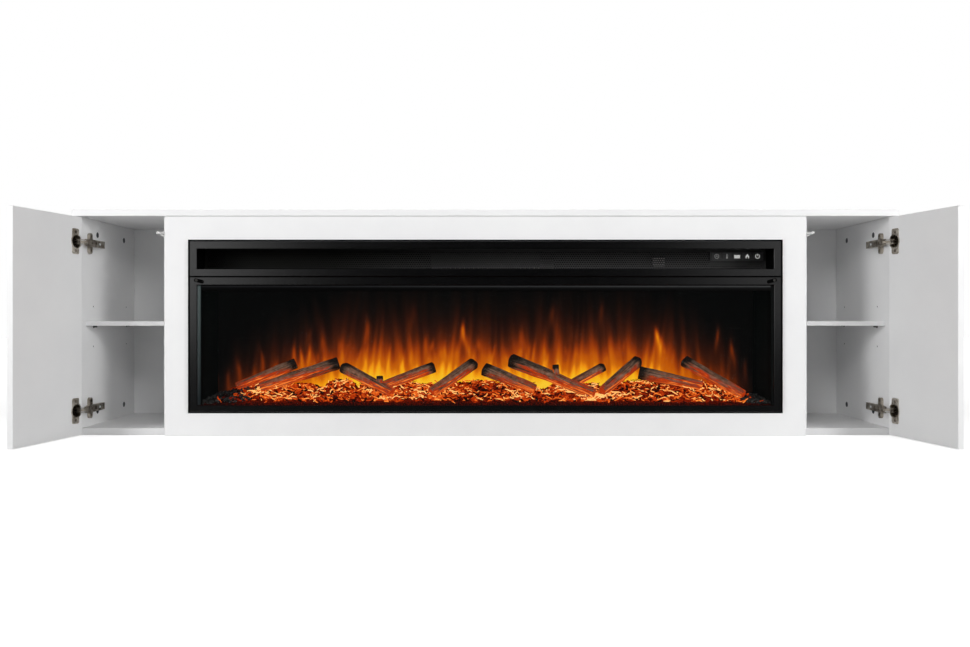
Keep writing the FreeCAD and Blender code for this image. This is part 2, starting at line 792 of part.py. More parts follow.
latch_x = -partition_outer - d.latch_inset
latch_z = under_top - d.latch_drop
latch_y = (carcass_front + d.latch_setback, carcass_front + d.latch_setback + d.latch_length)
foot_half = d.latch_foot_height / 2
barrel = rod("latch_barrel", "y", d.latch_radius, (latch_x, latch_y[0], latch_z), d.latch_length)
web = block("latch_web", (latch_x, -partition_outer - d.latch_foot_thickness), latch_y,
            (latch_z - d.latch_radius / 2, latch_z + d.latch_radius / 2))
foot = block("latch_foot", (-partition_outer - d.latch_foot_thickness, -partition_outer), latch_y,
             (latch_z - foot_half, latch_z + foot_half))
bore = rod("latch_bore", "y", d.plunger_radius + d.plunger_gap, (latch_x, latch_y[0], latch_z),
           d.latch_length - d.latch_foot_thickness)
left_latch = finish(cut("left_latch_body", fuse("latch_solid", barrel, web, foot), bore),
                    "left_latch_body")
finish(mirrored(left_latch, "right_latch_body"), "right_latch_body")

plunger_tip_y = front + d.door_thickness - d.plunger_reach
plunger_stem = rod("plunger_stem", "y", d.plunger_radius,
                   (latch_x, plunger_tip_y + d.plunger_tip_radius, latch_z),
                   latch_y[0] - plunger_tip_y - d.plunger_tip_radius + d.plunger_tail)
tip_barrel = rod("plunger_tip_barrel", "y", d.plunger_tip_radius,
                 (latch_x, plunger_tip_y + d.plunger_tip_radius, latch_z),
                 d.plunger_tip_length - d.plunger_tip_radius)
tip_ball = doc.addObject("Part::Sphere", "plunger_tip_ball")
bind(tip_ball, "Radius", d.plunger_tip_radius)
place(tip_ball, latch_x, plunger_tip_y + d.plunger_tip_radius, latch_z)
left_plunger = finish(fuse("left_latch_plunger", plunger_stem, tip_barrel, tip_ball),
                      "left_latch_plunger")
finish(mirrored(left_plunger, "right_latch_plunger"), "right_latch_plunger")

# Front of the insert: flange, frames and glass

housing_half = opening_half - d.housing_gap
housing_z = (opening_z[0] + d.housing_gap, opening_z[1] - d.housing_gap)
chamber_half = housing_half - d.sheet
chamber_z = (housing_z[0] + d.sheet, housing_z[1] - d.sheet)
housing_back = front + d.housing_depth
flange_y = front - d.flange_thickness
frame_y = flange_y - d.frame_depth
frame_half = insert_half - d.flange_lip
window_half = insert_half - d.frame_bar
seam = insert_floor + d.seam_height


def ring(name, y, depth, outer, inner, ease=None):
    """A flat frame in the front plane, between an outer and an inner rectangle."""
    body = new_body(name)
    extrude(body, "XZ", y, depth, [rectangle(*outer), rectangle(*inner)])
    if ease is not None:
        ease_edges(body, ease)
    return body


finish(ring("mounting_flange", flange_y, d.flange_thickness,
            (-insert_half, insert_half, insert_floor, insert_top),
            (-chamber_half, chamber_half, *chamber_z)), "mounting_flange")
outlet_z = (seam + d.seam_gap / 2 + d.middle_bar, insert_top - d.frame_bar)
finish(ring("upper_frame", frame_y, d.frame_depth,
            (-frame_half, frame_half, seam + d.seam_gap / 2, insert_top - d.flange_lip),
            (-window_half, window_half, *outlet_z), d.frame_ease), "upper_frame")

window_z = (insert_floor + d.glass_sill, seam - d.seam_gap / 2 - d.glass_top_bar)
glass_frame = ring("glass_frame_ring", frame_y, d.frame_depth,
                   (-frame_half, frame_half, insert_floor + d.flange_lip, seam - d.seam_gap / 2),
                   (-window_half, window_half, *window_z), d.frame_ease)
slot_z = seam - d.seam_gap / 2 - d.slot_drop


def slot_tool(name, side):
    """An oblong recess that slopes down towards the middle, with its screw at the outer end."""
    half = d.slot_length / 2 - d.slot_width / 2
    centre = side * (frame_half - d.slot_inset / 2)
    tilt = -side * d.slot_tilt
    reach_x, reach_z = half * cosine(d.slot_tilt), half * sine(d.slot_tilt)
    near = rod(name + "_outer", "y", d.slot_width / 2,
               (centre + side * reach_x, frame_y, slot_z + reach_z), d.slot_depth)
    far = rod(name + "_inner", "y", d.slot_width / 2,
              (centre - side * reach_x, frame_y, slot_z - reach_z), d.slot_depth)
    bar = doc.addObject("Part::Box", name + "_bar")
    bind(bar, "Length", half * 2)
    bind(bar, "Width", d.slot_depth)
    bind(bar, "Height", d.slot_width)
    lower = d.slot_width / 2
    tilt_cos, tilt_sin = cosine(tilt), sine(tilt)
    place(bar, centre - half * tilt_cos - lower * tilt_sin, frame_y,
          slot_z + half * tilt_sin - lower * tilt_cos, turn=tilt, axis=(0, 1, 0))
    screw = rod(name + "_screw", "y", d.slot_screw_radius,
                (centre + side * reach_x, frame_y + d.slot_depth / 2, slot_z + reach_z), d.slot_depth / 2)
    return fuse(name, near, far, bar), screw


slots = [slot_tool("left_slot", -1), slot_tool("right_slot", 1)]
finish(cut("glass_frame", glass_frame, *(tool for tool, screw in slots)), "glass_frame")
finish(group("glass_frame_screws", *(screw for tool, screw in slots)), "glass_frame_screws")
finish(block("front_glass", (-window_half - d.glass_lap, window_half + d.glass_lap),
             (flange_y, flange_y + d.glass_thickness),
             (window_z[0] - d.glass_lap, window_z[1] + d.glass_lap)), "front_glass")

# Housing of the insert

wrapper = new_body("housing_wrapper")
extrude(wrapper, "YZ", -chamber_half, chamber_half * 2, [[
    (front, housing_z[0]), (housing_back, housing_z[0]), (housing_back, housing_z[1]),
    (front, housing_z[1]), (front, chamber_z[1]), (housing_back - d.sheet, chamber_z[1]),
    (housing_back - d.sheet, chamber_z[0]), (front, chamber_z[0])]])
finish(wrapper, "housing_wrapper")
left_end = block("housing_left_end", (-housing_half, -chamber_half), (front, housing_back), housing_z)
finish(group("housing_ends", left_end, mirrored(left_end, "housing_right_end")), "housing_ends")
tray_z = (seam + d.tray_rise, seam + d.tray_rise + d.sheet)
tray_front = flange_y + d.glass_thickness + d.sheet
finish(block("heater_tray", (-chamber_half, chamber_half), (tray_front, housing_back - d.sheet), tray_z),
       "heater_tray")

grille_y = front + d.grille_setback
grille_z = (tray_z[1], chamber_z[1])
grille = new_body("perforated_grille")
extrude(grille, "XZ", grille_y, d.sheet, [rectangle(-chamber_half, chamber_half, *grille_z)])
hole_half = d.grille_hole_width / 2
first_hole = -d.grille_hole_pitch * (d.grille_columns - 1) / 2
grille_middle = (outlet_z[0] + outlet_z[1]) / 2
column = extrude(grille, "XZ", grille_y, d.sheet, [
    rectangle(first_hole - hole_half, first_hole + hole_half,
              grille_middle + row * d.grille_hole_rise - d.grille_hole_height / 2,
              grille_middle + row * d.grille_hole_rise + d.grille_hole_height / 2)
    for row in (-1, 0, 1)], pocket=True)
columns = grille.newObject("PartDesign::LinearPattern", "grille_columns")
columns.Originals = [column]
columns.Direction = (next(f for f in grille.Origin.OriginFeatures if f.Role == "X_Axis"), [""])
bind(columns, "Length", d.grille_hole_pitch * (d.grille_columns - 1))
bind(columns, "Occurrences", d.grille_columns)
grille.Tip = columns
finish(grille, "perforated_grille")

# Keys, their bezel and the board behind the grille

key_z = insert_floor + d.key_level
key_half_w, key_half_h = d.key_width / 2, d.key_height / 2
bezel_y = grille_y - d.bezel_depth
bezel_half = d.key_pitch * (d.key_count - 1) / 2 + key_half_w + d.bezel_margin
bezel = new_body("key_bezel")
extrude(bezel, "XZ", bezel_y, d.bezel_depth, [rectangle(
    d.key_centre - bezel_half, d.key_centre + bezel_half,
    key_z - key_half_h - d.bezel_margin, key_z + key_half_h + d.bezel_margin)])
key_names = ("timer_key", "temperature_key", "heat_key", "flame_key", "power_key")
key_centres = [d.key_centre + d.key_pitch * (index - (d.key_count - 1) / 2)
               for index in range(len(key_names))]
for centre in key_centres:
    well = extrude(bezel, "XZ", bezel_y, d.key_body - d.key_proud + d.key_travel + d.key_gap, [rectangle(
        centre - key_half_w - d.key_gap, centre + key_half_w + d.key_gap,
        key_z - key_half_h - d.key_gap, key_z + key_half_h + d.key_gap)], pocket=True)
finish(bezel, "key_bezel")
for name, centre in zip(key_names, key_centres):
    finish(board(name, (centre - key_half_w, centre + key_half_w),
                 (bezel_y - d.key_proud, bezel_y - d.key_proud + d.key_body),
                 (key_z - key_half_h, key_z + key_half_h), d.key_ease), name)
finish(block("control_board", (d.key_centre - bezel_half, d.key_centre + bezel_half),
             (grille_y + d.sheet, grille_y + d.sheet + d.board_thickness),
             (key_z - d.board_drop, key_z + key_half_h)), "control_board")

# Heater behind the grille: duct, blower wheel, motor and element

duct_half = d.duct_width / 2
duct_y = (grille_y + d.sheet, grille_y + d.sheet + d.duct_depth)
duct_z = (tray_z[1], tray_z[1] + d.duct_height)
wheel_y = duct_y[1] - d.duct_wall - d.wheel_gap - d.wheel_radius
wheel_z = tray_z[1] + d.duct_wall + d.wheel_gap + d.wheel_radius + d.duct_front
duct = new_body("heater_duct")
extrude(duct, "YZ", -duct_half, d.duct_width, [rectangle(*duct_y, *duct_z)])
throat = extrude(duct, "YZ", duct_half - d.duct_wall, d.duct_width - d.duct_wall * 2, [rectangle(
    duct_y[0], wheel_y, duct_z[0] + d.duct_wall, duct_z[0] + d.duct_wall + d.outlet_height)], pocket=True)
scroll = extrude(duct, "YZ", duct_half - d.duct_wall, d.duct_width - d.duct_wall * 2,
                 circles=[(wheel_y, wheel_z, d.wheel_radius + d.wheel_gap)], pocket=True)
intake = extrude(duct, "YZ", duct_half, d.duct_width,
                 circles=[(wheel_y, wheel_z, d.wheel_hub_radius + d.shaft_gap)], pocket=True)
finish(duct, "heater_duct")

wheel_half = duct_half - d.duct_wall - d.wheel_gap
wheel = new_body("blower_wheel")
blade_start = -wheel_half + d.wheel_disc
extrude(wheel, "YZ", -wheel_half, d.wheel_disc, circles=[(0, 0, d.wheel_radius)])
extrude(wheel, "YZ", -duct_half, d.duct_width, circles=[(0, 0, d.wheel_hub_radius)])
extrude(wheel, "YZ", wheel_half - d.wheel_disc, d.wheel_disc, circles=[(0, 0, d.wheel_radius)])
blade = extrude(wheel, "YZ", -wheel_half, wheel_half * 2, [rectangle(
    d.wheel_radius - d.blade_depth, d.wheel_radius - d.blade_thickness / 2,
    -d.blade_thickness / 2, d.blade_thickness / 2)])
blades = wheel.newObject("PartDesign::PolarPattern", "blower_blades")
blades.Originals = [blade]
blades.Axis = (next(f for f in wheel.Origin.OriginFeatures if f.Role == "X_Axis"), [""])
blades.Angle = 360
bind(blades, "Occurrences", d.blade_count)
wheel.Tip = blades
finish(place(wheel, 0, wheel_y, wheel_z), "blower_wheel")
motor_can = rod("blower_motor_can", "x", d.blower_motor_radius,
                (duct_half + d.layer_gap, wheel_y, wheel_z), d.blower_motor_length)
motor_foot = block("blower_motor_foot",
                   (duct_half + d.layer_gap, duct_half + d.layer_gap + d.blower_motor_length),
                   (wheel_y - d.blower_motor_radius / 2, wheel_y + d.blower_motor_radius / 2),
                   (tray_z[1], wheel_z))
finish(fuse("blower_motor", motor_can, motor_foot), "blower_motor")

element_y = (duct_y[0] + d.duct_front, duct_y[0] + d.duct_front + d.element_depth)
element_z = (duct_z[0] + d.duct_wall, duct_z[0] + d.duct_wall + d.outlet_height)
element_half = duct_half - d.duct_wall
element = new_body("heating_element")
core = element_z[0] + d.outlet_height / 2
extrude(element, "YZ", -element_half, element_half * 2, [rectangle(
    *element_y, core - d.fin_thickness, core + d.fin_thickness)])
fin = extrude(element, "YZ", -element_half, d.fin_thickness, [rectangle(*element_y, *element_z)])
fins = element.newObject("PartDesign::LinearPattern", "element_fins")
fins.Originals = [fin]
fins.Direction = (next(f for f in element.Origin.OriginFeatures if f.Role == "X_Axis"), [""])
bind(fins, "Length", element_half * 2 - d.fin_thickness)
bind(fins, "Occurrences", d.element_fins)
element.Tip = fins
finish(element, "heating_element")

# Flame maker: screen, lit spindle with vanes, its motor and bearing

screen_y = (front + d.screen_setback, front + d.screen_setback + d.screen_thickness)
finish(block("flame_screen", (-chamber_half, chamber_half), screen_y, (chamber_z[0], tray_z[0])),
       "flame_screen")
spindle_y = front + d.spindle_setback
spindle_z = insert_floor + d.spindle_level
spindle_half = chamber_half - d.spindle_end
spindle = new_body("flame_spindle")
extrude(spindle, "YZ", -spindle_half, spindle_half * 2, circles=[(0, 0, d.spindle_radius)])
vane_step = (spindle_half * 2 - d.bearing_size * 4) / d.vane_count
vane_start = -spindle_half + d.bearing_size * 2
vane = extrude(spindle, "YZ", vane_start, d.vane_width, [rectangle(
    -d.vane_height, d.vane_height, -d.vane_thickness / 2, d.vane_thickness / 2)])
vanes = spindle.newObject("PartDesign::LinearPattern", "spindle_vanes")
vanes.Originals = [vane]
vanes.Direction = (next(f for f in spindle.Origin.OriginFeatures if f.Role == "X_Axis"), [""])
bind(vanes, "Length", vane_step * (d.vane_count - 1))
bind(vanes, "Occurrences", d.vane_count)
spindle.Tip = vanes
finish(place(spindle, 0, spindle_y, spindle_z), "flame_spindle")

half_bearing = d.bearing_size / 2
bearing_block = block("bearing_block", (spindle_half - d.bearing_size, spindle_half),
                      (spindle_y - half_bearing, spindle_y + half_bearing),
                      (chamber_z[0], spindle_z + half_bearing))
bearing_bore = rod("bearing_bore", "x", d.spindle_radius + d.shaft_gap,
                   (spindle_half - d.bearing_size, spindle_y, spindle_z), d.bearing_size)
finish(cut("spindle_bearing", bearing_block, bearing_bore), "spindle_bearing")
motor_x = -spindle_half - d.layer_gap - d.spindle_motor_length
spindle_can = rod("spindle_motor_can", "x", d.spindle_motor_radius, (motor_x, spindle_y, spindle_z),
                  d.spindle_motor_length)
spindle_foot = block("spindle_motor_foot", (motor_x, motor_x + d.spindle_motor_length),
                     (spindle_y - half_bearing, spindle_y + half_bearing), (chamber_z[0], spindle_z))
finish(fuse("spindle_motor", spindle_can, spindle_foot), "spindle_motor")
strip_y = front + d.strip_setback
finish(block("light_strip", (-d.strip_width / 2, d.strip_width / 2),
             (strip_y, strip_y + d.board_thickness), (chamber_z[0], chamber_z[0] + d.strip_height)),
       "light_strip")

# Fuel bed: a moulded ember bed and eleven logs lying on it

bed_half = chamber_half - d.bed_side_gap
bed_y = (front + d.bed_front, screen_y[0] - d.bed_back_gap)
bed_floor = chamber_z[0]
bed_middle_y = front + d.bed_middle
bed = new_body("ember_bed")
extrude(bed, "YZ", -bed_half, bed_half * 2, [[
    (bed_y[0], bed_floor), (bed_y[1], bed_floor), (bed_y[1], bed_floor + d.bed_back_height),
    (bed_middle_y, bed_floor + d.bed_middle_height), (bed_y[0], bed_floor + d.bed_lip)]])
finish(bed, "ember_bed")


def tapered(name, start, along, thick, thin, length):
    """A cone that runs from a point along a direction."""
    thing = doc.addObject("Part::Cone", name)
    bind(thing, "Radius1", thick)
    bind(thing, "Radius2", thin)
    bind(thing, "Height", length)
    thing.Placement = FreeCAD.Placement(start, FreeCAD.Rotation(FreeCAD.Vector(0, 0, 1), along))
    return thing


def log(name, foot_x, foot_setback, head_x, head_setback, head_rise, head_radius):
    """A tapered log whose foot rests on the bed; a forked one has a short side branch."""
    head = FreeCAD.Vector(head_x, front.number + head_setback, bed_floor.number + head_rise)
    start = FreeCAD.Vector(foot_x, front.number + foot_setback, head.z)
    for settling in range(d.log_settling.number):
        along = head - start
        trial = Part.makeCone(d.log_foot_radius.number, head_radius, along.Length, start, along)
        start.z -= trial.distToShape(bed.Shape)[0] - d.log_gap.number
    along = head - start
    trunk = tapered(name, start, along, d.log_foot_radius, head_radius, along.Length)
    if name not in FORKED_LOGS:
        return trunk
    branch = tapered(name + "_branch", start + along * d.branch_place.number, FreeCAD.Vector(-1, 0, 2),
                     d.branch_radius, d.branch_tip_radius, d.branch_length)
    return fuse(name + "_fork", trunk, branch)


doc.recompute()
for group_name, spans in LOGS.items():
    pieces = [log(f"{group_name}_{index}", *span) for index, span in enumerate(spans)]
    finish(group(group_name, *pieces), group_name)

# Cord inlet at the back of the insert

gland_x = housing_half - d.gland_inset
gland_z = housing_z[1] - d.gland_drop
gland_start = (gland_x, housing_back, gland_z)
gland_flange = rod("gland_flange", "y", d.gland_flange_radius, gland_start, d.gland_flange)
gland_barrel = rod("gland_barrel", "y", d.gland_radius, gland_start, d.gland_length)
gland_hole = rod("gland_hole", "y", d.gland_bore, gland_start, d.gland_length)
finish(cut("cord_gland", fuse("gland_solid", gland_flange, gland_barrel), gland_hole), "cord_gland")

# Build, check and write

doc.recompute()
for thing in doc.Objects:
    if "Invalid" in thing.State or "Error" in thing.State:
        raise RuntimeError(f"{thing.Label} did not build: {thing.State}")
for thing in sub_parts:
    if thing.Shape.isNull() or not thing.Shape.isValid():
        raise RuntimeError(f"{thing.Label} has no valid shape")
os.makedirs("parts", exist_ok=True)
for thing in sub_parts:
    thing.Shape.exportStep(os.path.join("parts", thing.Label + ".step"))
print(len(sub_parts), "sub-parts written")
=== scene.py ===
"""Electric fireplace mantel, dressed for the photograph's view: white cabinet, open doors, burning insert.

Everything is in metres in the frame of the solids: +X to the right, the front faces -Y, +Z up.
"""

import math
import random

import bmesh
import bpy
import numpy as np
from mathutils import Matrix, Vector, noise


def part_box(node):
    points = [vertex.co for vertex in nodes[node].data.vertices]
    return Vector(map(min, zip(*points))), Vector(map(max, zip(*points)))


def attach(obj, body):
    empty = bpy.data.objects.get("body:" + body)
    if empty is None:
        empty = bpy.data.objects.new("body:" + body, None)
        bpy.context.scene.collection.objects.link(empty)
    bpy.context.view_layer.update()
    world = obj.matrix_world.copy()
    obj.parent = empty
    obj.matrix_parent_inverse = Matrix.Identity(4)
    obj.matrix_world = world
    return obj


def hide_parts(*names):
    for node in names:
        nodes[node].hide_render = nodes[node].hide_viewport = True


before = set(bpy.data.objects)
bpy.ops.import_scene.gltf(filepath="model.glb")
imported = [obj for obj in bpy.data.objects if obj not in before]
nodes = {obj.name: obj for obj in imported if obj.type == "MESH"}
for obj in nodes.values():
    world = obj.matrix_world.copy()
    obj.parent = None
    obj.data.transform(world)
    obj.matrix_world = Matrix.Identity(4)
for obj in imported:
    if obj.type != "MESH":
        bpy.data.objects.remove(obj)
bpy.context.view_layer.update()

FRONT = -0.175
HEARTH = 0.0732
SIDE_INNER = 1.044
SIDES = (("left", -1), ("right", 1))

WINDOW_HALF, WINDOW_BOTTOM, WINDOW_TOP = 0.7365, 0.0800, 0.3865
LEFT_EDGE, RIGHT_EDGE, TOP_EDGE = -0.7255, 0.7300, 0.3720
RECEIVER_LOW, RECEIVER_HIGH = (0.446, 0.440), (0.478, 0.464)


# Shader building

def finish_named(name):
    """A new material with its tree and its principled shader."""
    made = bpy.data.materials.new(name)
    made.use_nodes = True
    return made, made.node_tree, made.node_tree.nodes["Principled BSDF"]


def feed(tree, node, slots=None, **inputs):
    """Give a node's inputs, by number or by name, a value or the socket to wire them to."""
    for name, value in {**(slots or {}), **inputs}.items():
        socket = node.inputs[name.replace("_", " ") if isinstance(name, str) else name]
        if isinstance(value, bpy.types.NodeSocket):
            tree.links.new(value, socket)
        else:
            socket.default_value = value


def put(tree, kind, settings=None, slots=None, **inputs):
    """Add a node, with its properties and its inputs."""
    node = tree.nodes.new(kind)
    for name, value in (settings or {}).items():
        setattr(node, name, value)
    feed(tree, node, slots, **inputs)
    return node


def calc(tree, operation, *terms):
    """The outcome of an operation on sockets and numbers."""
    return put(tree, "ShaderNodeMath", {"operation": operation}, dict(enumerate(terms))).outputs["Value"]


def blend(tree, share, first, second, how="MIX"):
    """Two colours mixed by a share, or multiplied."""
    settings = {"data_type": "RGBA", "blend_type": how}
    return put(tree, "ShaderNodeMix", settings, {0: share, 6: first, 7: second}).outputs[2]


def attribute(tree, name):
    return put(tree, "ShaderNodeAttribute", {"attribute_name": name}).outputs


def place_on_piece(tree, scale=(1, 1, 1)):
    """Object coordinates, stretched by a scale."""
    coordinates = put(tree, "ShaderNodeTexCoord")
    return put(tree, "ShaderNodeMapping", Vector=coordinates.outputs["Object"], Scale=scale).outputs["Vector"]


def speckle(tree, scale, detail=3.0, stretch=(1, 1, 1), roughness=0.5):
    """Noise over the piece, in cycles per metre."""
    texture = put(tree, "ShaderNodeTexNoise", Vector=place_on_piece(tree, stretch), Scale=scale,
                  Detail=detail, Roughness=roughness)
    return texture.outputs["Fac"]


def shades(tree, value, stops):
    """A colour ramp from a value, through (position, colour) stops."""
    ramp = put(tree, "ShaderNodeValToRGB", Fac=value)
    points = ramp.color_ramp.elements
    points.remove(points[1])
    points[0].position = stops[0][0]
    points[0].color = (*stops[0][1], 1.0)
    for position, colour in stops[1:]:
        points.new(position).color = (*colour, 1.0)
    return ramp.outputs["Color"]


def span(tree, value, low, high, least=0.0, most=1.0, smooth=False):
    """Stretch a value from one range to another."""
    settings = {"interpolation_type": "SMOOTHSTEP"} if smooth else None
    node = put(tree, "ShaderNodeMapRange", settings, Value=value, From_Min=least, From_Max=most, To_Min=low,
               To_Max=high)
    return node.outputs["Result"]


def relief(tree, shader, height, strength, depth):
    bump = put(tree, "ShaderNodeBump", Height=height, Strength=strength, Distance=depth)
    feed(tree, shader, Normal=bump.outputs["Normal"])


def coat(name, cloud, tints, patches, rough, grain, bump, **inputs):
    """A finish from clouds of tint, patches of roughness and a fine grain, all three of noise."""
    made, tree, shader = finish_named(name)
    feed(tree, shader, Base_Color=shades(tree, speckle(tree, *cloud), tints),
         Roughness=span(tree, speckle(tree, *patches), *rough), **inputs)
    relief(tree, shader, speckle(tree, *grain), *bump)
    return made


def white_laminate():
    tints = [(0.3, (0.885, 0.885, 0.89)), (0.7, (0.915, 0.915, 0.915))]
    return coat("white_laminate", cloud=(9, 4), tints=tints, patches=(60, 4), rough=(0.40, 0.56),
                grain=(900, 2), bump=(0.06, 0.0004), Specular_IOR_Level=0.35)


def plated_nickel(name, light, dark, rough):
    """Nickel plate with a brushed run and a brown tint where it is dull."""
    return coat(name, cloud=(55, 5), tints=[(0.32, dark), (0.62, light)], patches=(240, 3, (1, 1, 7)),
                rough=(rough - 0.08, rough + 0.12), grain=(700, 2, (1, 1, 9)), bump=(0.10, 0.0003),
                Metallic=1.0)


def moulded_plastic(name, light, dark, rough):
    return coat(name, cloud=(40, 4), tints=[(0.35, dark), (0.65, light)], patches=(300, 3),
                rough=(rough - 0.06, rough + 0.08), grain=(1400, 2), bump=(0.08, 0.0002))


def powder_coat(name, light, dark, rough, grain, sheen=0.5):
    """Black paint with the fine orange peel of a powder coat."""
    return coat(name, cloud=(25, 4), tints=[(0.3, dark), (0.7, light)], patches=(120, 4),
                rough=(rough - 0.05, rough + 0.07), grain=(grain, 3), bump=(0.12, 0.0002),
                Specular_IOR_Level=sheen)


def along_piece(name, axis, start, end, stops, sheen=0.3, fade=None):
    """Satin finish whose shade runs along one axis, and may fade along another: axis, full and faint end."""
    made, tree, shader = finish_named(name)
    parts = put(tree, "ShaderNodeSeparateXYZ", Vector=place_on_piece(tree)).outputs
    shade = shades(tree, span(tree, parts[axis], 0, 1, start, end), stops)
    if fade:
        fade_axis, full, faint = fade
        down = shades(tree, span(tree, parts[fade_axis], 0, 1, full, faint),
                      [(0.0, (1, 1, 1)), (1.0, (0.22, 0.22, 0.24))])
        shade = blend(tree, 1.0, shade, down, "MULTIPLY")
    feed(tree, shader, Base_Color=shade, Roughness=span(tree, speckle(tree, 150, 3), 0.44, 0.58),
         Specular_IOR_Level=sheen)
    relief(tree, shader, speckle(tree, 1300, 3), 0.10, 0.0002)
    return made


def clear_glass():
    made, tree, shader = finish_named("tempered_glass")
    tint = shades(tree, speckle(tree, 6, 3), [(0.3, (0.02, 0.028, 0.028)), (0.7, (0.03, 0.04, 0.04))])
    feed(tree, shader, Base_Color=tint, Roughness=span(tree, speckle(tree, 18, 4), 0.02, 0.06), Alpha=0.035,
         Specular_IOR_Level=0.02)
    made.surface_render_method = "BLENDED"
    return made


def circuit_board():
    made, tree, shader = finish_named("circuit_board")
    pads = put(tree, "ShaderNodeTexVoronoi", Vector=place_on_piece(tree), Scale=260.0).outputs["Distance"]
    feed(tree, shader, Roughness=0.42, Base_Color=shades(tree, pads, [
        (0.10, (0.060, 0.058, 0.050)), (0.22, (0.006, 0.012, 0.008)), (0.8, (0.008, 0.016, 0.010))]))
    relief(tree, shader, pads, 0.2, 0.0003)
    return made


def flame_light():
    """The flame picture: colour painted on the sheet as an attribute, given off as light."""
    made, tree, shader = finish_named("flame_light")
    feed(tree, shader, Base_Color=(0.0015, 0.001, 0.001, 1), Roughness=0.5, Specular_IOR_Level=0.02,
         Emission_Color=attribute(tree, "fire_paint")["Color"], Emission_Strength=1.0)
    return made


def ember_glow():
    """Ember chips: each has its own heat, from dark red crust to pale orange."""
    made, tree, shader = finish_named("ember_glow")
    crust = speckle(tree, 240, 4)
    heat = calc(tree, "MULTIPLY_ADD", crust, 0.6, attribute(tree, "ember_heat")["Fac"])
    glow = shades(tree, span(tree, heat, 0, 1, 0.30, 1.30), [
        (0.02, (0.004, 0.001, 0.001)), (0.12, (0.06, 0.0021, 0.0)), (0.30, (0.171, 0.008, 0.0)),
        (0.52, (0.361, 0.026, 0.001)), (0.72, (0.651, 0.088, 0.007)), (0.86, (0.940, 0.25, 0.034)),
        (0.96, (1.0, 0.50, 0.15))])
    dark = shades(tree, crust, [(0.3, (0.002, 0.001, 0.001)), (0.7, (0.008, 0.002, 0.001))])
    feed(tree, shader, Emission_Color=glow, Emission_Strength=1.28, Base_Color=dark, Roughness=0.8,
         Specular_IOR_Level=0.02)
    relief(tree, shader, crust, 0.4, 0.001)
    return made


def charcoal():
    made, tree, shader = finish_named("charcoal")
    cracks = speckle(tree, 160, 6, roughness=0.65)
    feed(tree, shader, Roughness=0.72, Base_Color=shades(tree, cracks, [
        (0.35, (0.006, 0.0058, 0.0056)), (0.68, (0.042, 0.041, 0.039))]))
    relief(tree, shader, cracks, 0.6, 0.002)
    return made


def burning_bark():
    """Resin bark: warm brown and grooved, charred at the head, with painted shade on top and painted
    firelight that glows on the underside and near the embers.
    """
    made, tree, shader = finish_named("burning_bark")
    char, glow, groove = (attribute(tree, name)["Fac"] for name in ("char", "glow", "groove"))
    grain = speckle(tree, 90, 4)
    # Painted firelight: lit follows the glow painted on the log
    lit = calc(tree, "MULTIPLY_ADD", speckle(tree, 85, 5), 0.22, glow)
    base = shades(tree, grain, [(0.30, (0.070, 0.045, 0.031)), (0.5, (0.15, 0.100, 0.072)),
                                (0.72, (0.25, 0.175, 0.130))])
    # The char share holds the charred head and painted shade on the top of the log
    for share, dark in ((groove, (0.012, 0.007, 0.005, 1)), (char, (0.008, 0.006, 0.006, 1)),
                        (span(tree, lit, 0, 1, 0.34, 0.60), (0.020, 0.003, 0.001, 1))):
        base = blend(tree, share, base, dark)
    fire = shades(tree, lit, [
        (0.16, (0.002, 0.001, 0.0)), (0.28, (0.055, 0.018, 0.007)), (0.40, (0.13, 0.024, 0.006)),
        (0.50, (0.24, 0.017, 0.002)), (0.62, (0.44, 0.034, 0.003)), (0.74, (0.62, 0.070, 0.007)),
        (0.90, (0.92, 0.22, 0.035))])
    feed(tree, shader, Base_Color=base, Specular_IOR_Level=0.10, Roughness=0.78, Emission_Color=fire,
         Emission_Strength=1.0)
    relief(tree, shader, grain, 0.5, 0.002)
    return made


def pictogram_white(name, strength):
    made, tree, shader = finish_named(name)
    ink = shades(tree, speckle(tree, 500, 2), [(0.3, (0.62, 0.62, 0.60)), (0.7, (0.78, 0.78, 0.76))])
    feed(tree, shader, Base_Color=ink, Emission_Color=ink, Emission_Strength=strength, Roughness=0.5)
    return made


LAMINATE = white_laminate()
NICKEL = plated_nickel("plated_nickel", (0.86, 0.80, 0.71), (0.40, 0.34, 0.27), 0.26)
ARM_NICKEL = plated_nickel("arm_nickel", (0.60, 0.54, 0.46), (0.20, 0.17, 0.135), 0.28)
HINGE_SCREW = plated_nickel("hinge_screw", (0.40, 0.35, 0.29), (0.15, 0.125, 0.10), 0.35)
DARK_ZINC = plated_nickel("dark_zinc", (0.16, 0.165, 0.18), (0.07, 0.072, 0.08), 0.5)
DARK_STEEL = plated_nickel("dark_steel", (0.22, 0.21, 0.20), (0.10, 0.095, 0.09), 0.40)
HEATED_STEEL = plated_nickel("heated_steel", (0.42, 0.37, 0.32), (0.22, 0.17, 0.16), 0.38)
FOIL = plated_nickel("vane_foil", (0.80, 0.80, 0.80), (0.66, 0.66, 0.67), 0.16)
WHITE_PLASTIC = moulded_plastic("white_plastic", (0.84, 0.84, 0.83), (0.78, 0.78, 0.77), 0.38)
BLACK_PLASTIC = moulded_plastic("black_plastic", (0.022, 0.022, 0.023), (0.014, 0.014, 0.015), 0.42)
KEY_PLASTIC = moulded_plastic("key_plastic", (0.105, 0.105, 0.106), (0.088, 0.088, 0.090), 0.34)
SATIN_BLACK = powder_coat("satin_black", (0.0035, 0.0035, 0.0038), (0.0025, 0.0025, 0.0027), 0.17, 1500, 0.95)
MATT_BLACK = powder_coat("matt_black", (0.011, 0.011, 0.011), (0.007, 0.007, 0.007), 0.62, 1100)
CUP_SHADE = powder_coat("cup_shade", (0.014, 0.010, 0.006), (0.008, 0.006, 0.004), 0.6, 600, 0.1)
CHAMBER_BLACK = powder_coat("chamber_black", (0.0022, 0.0022, 0.0022), (0.0014, 0.0014, 0.0014), 0.8, 900,
                            0.05)
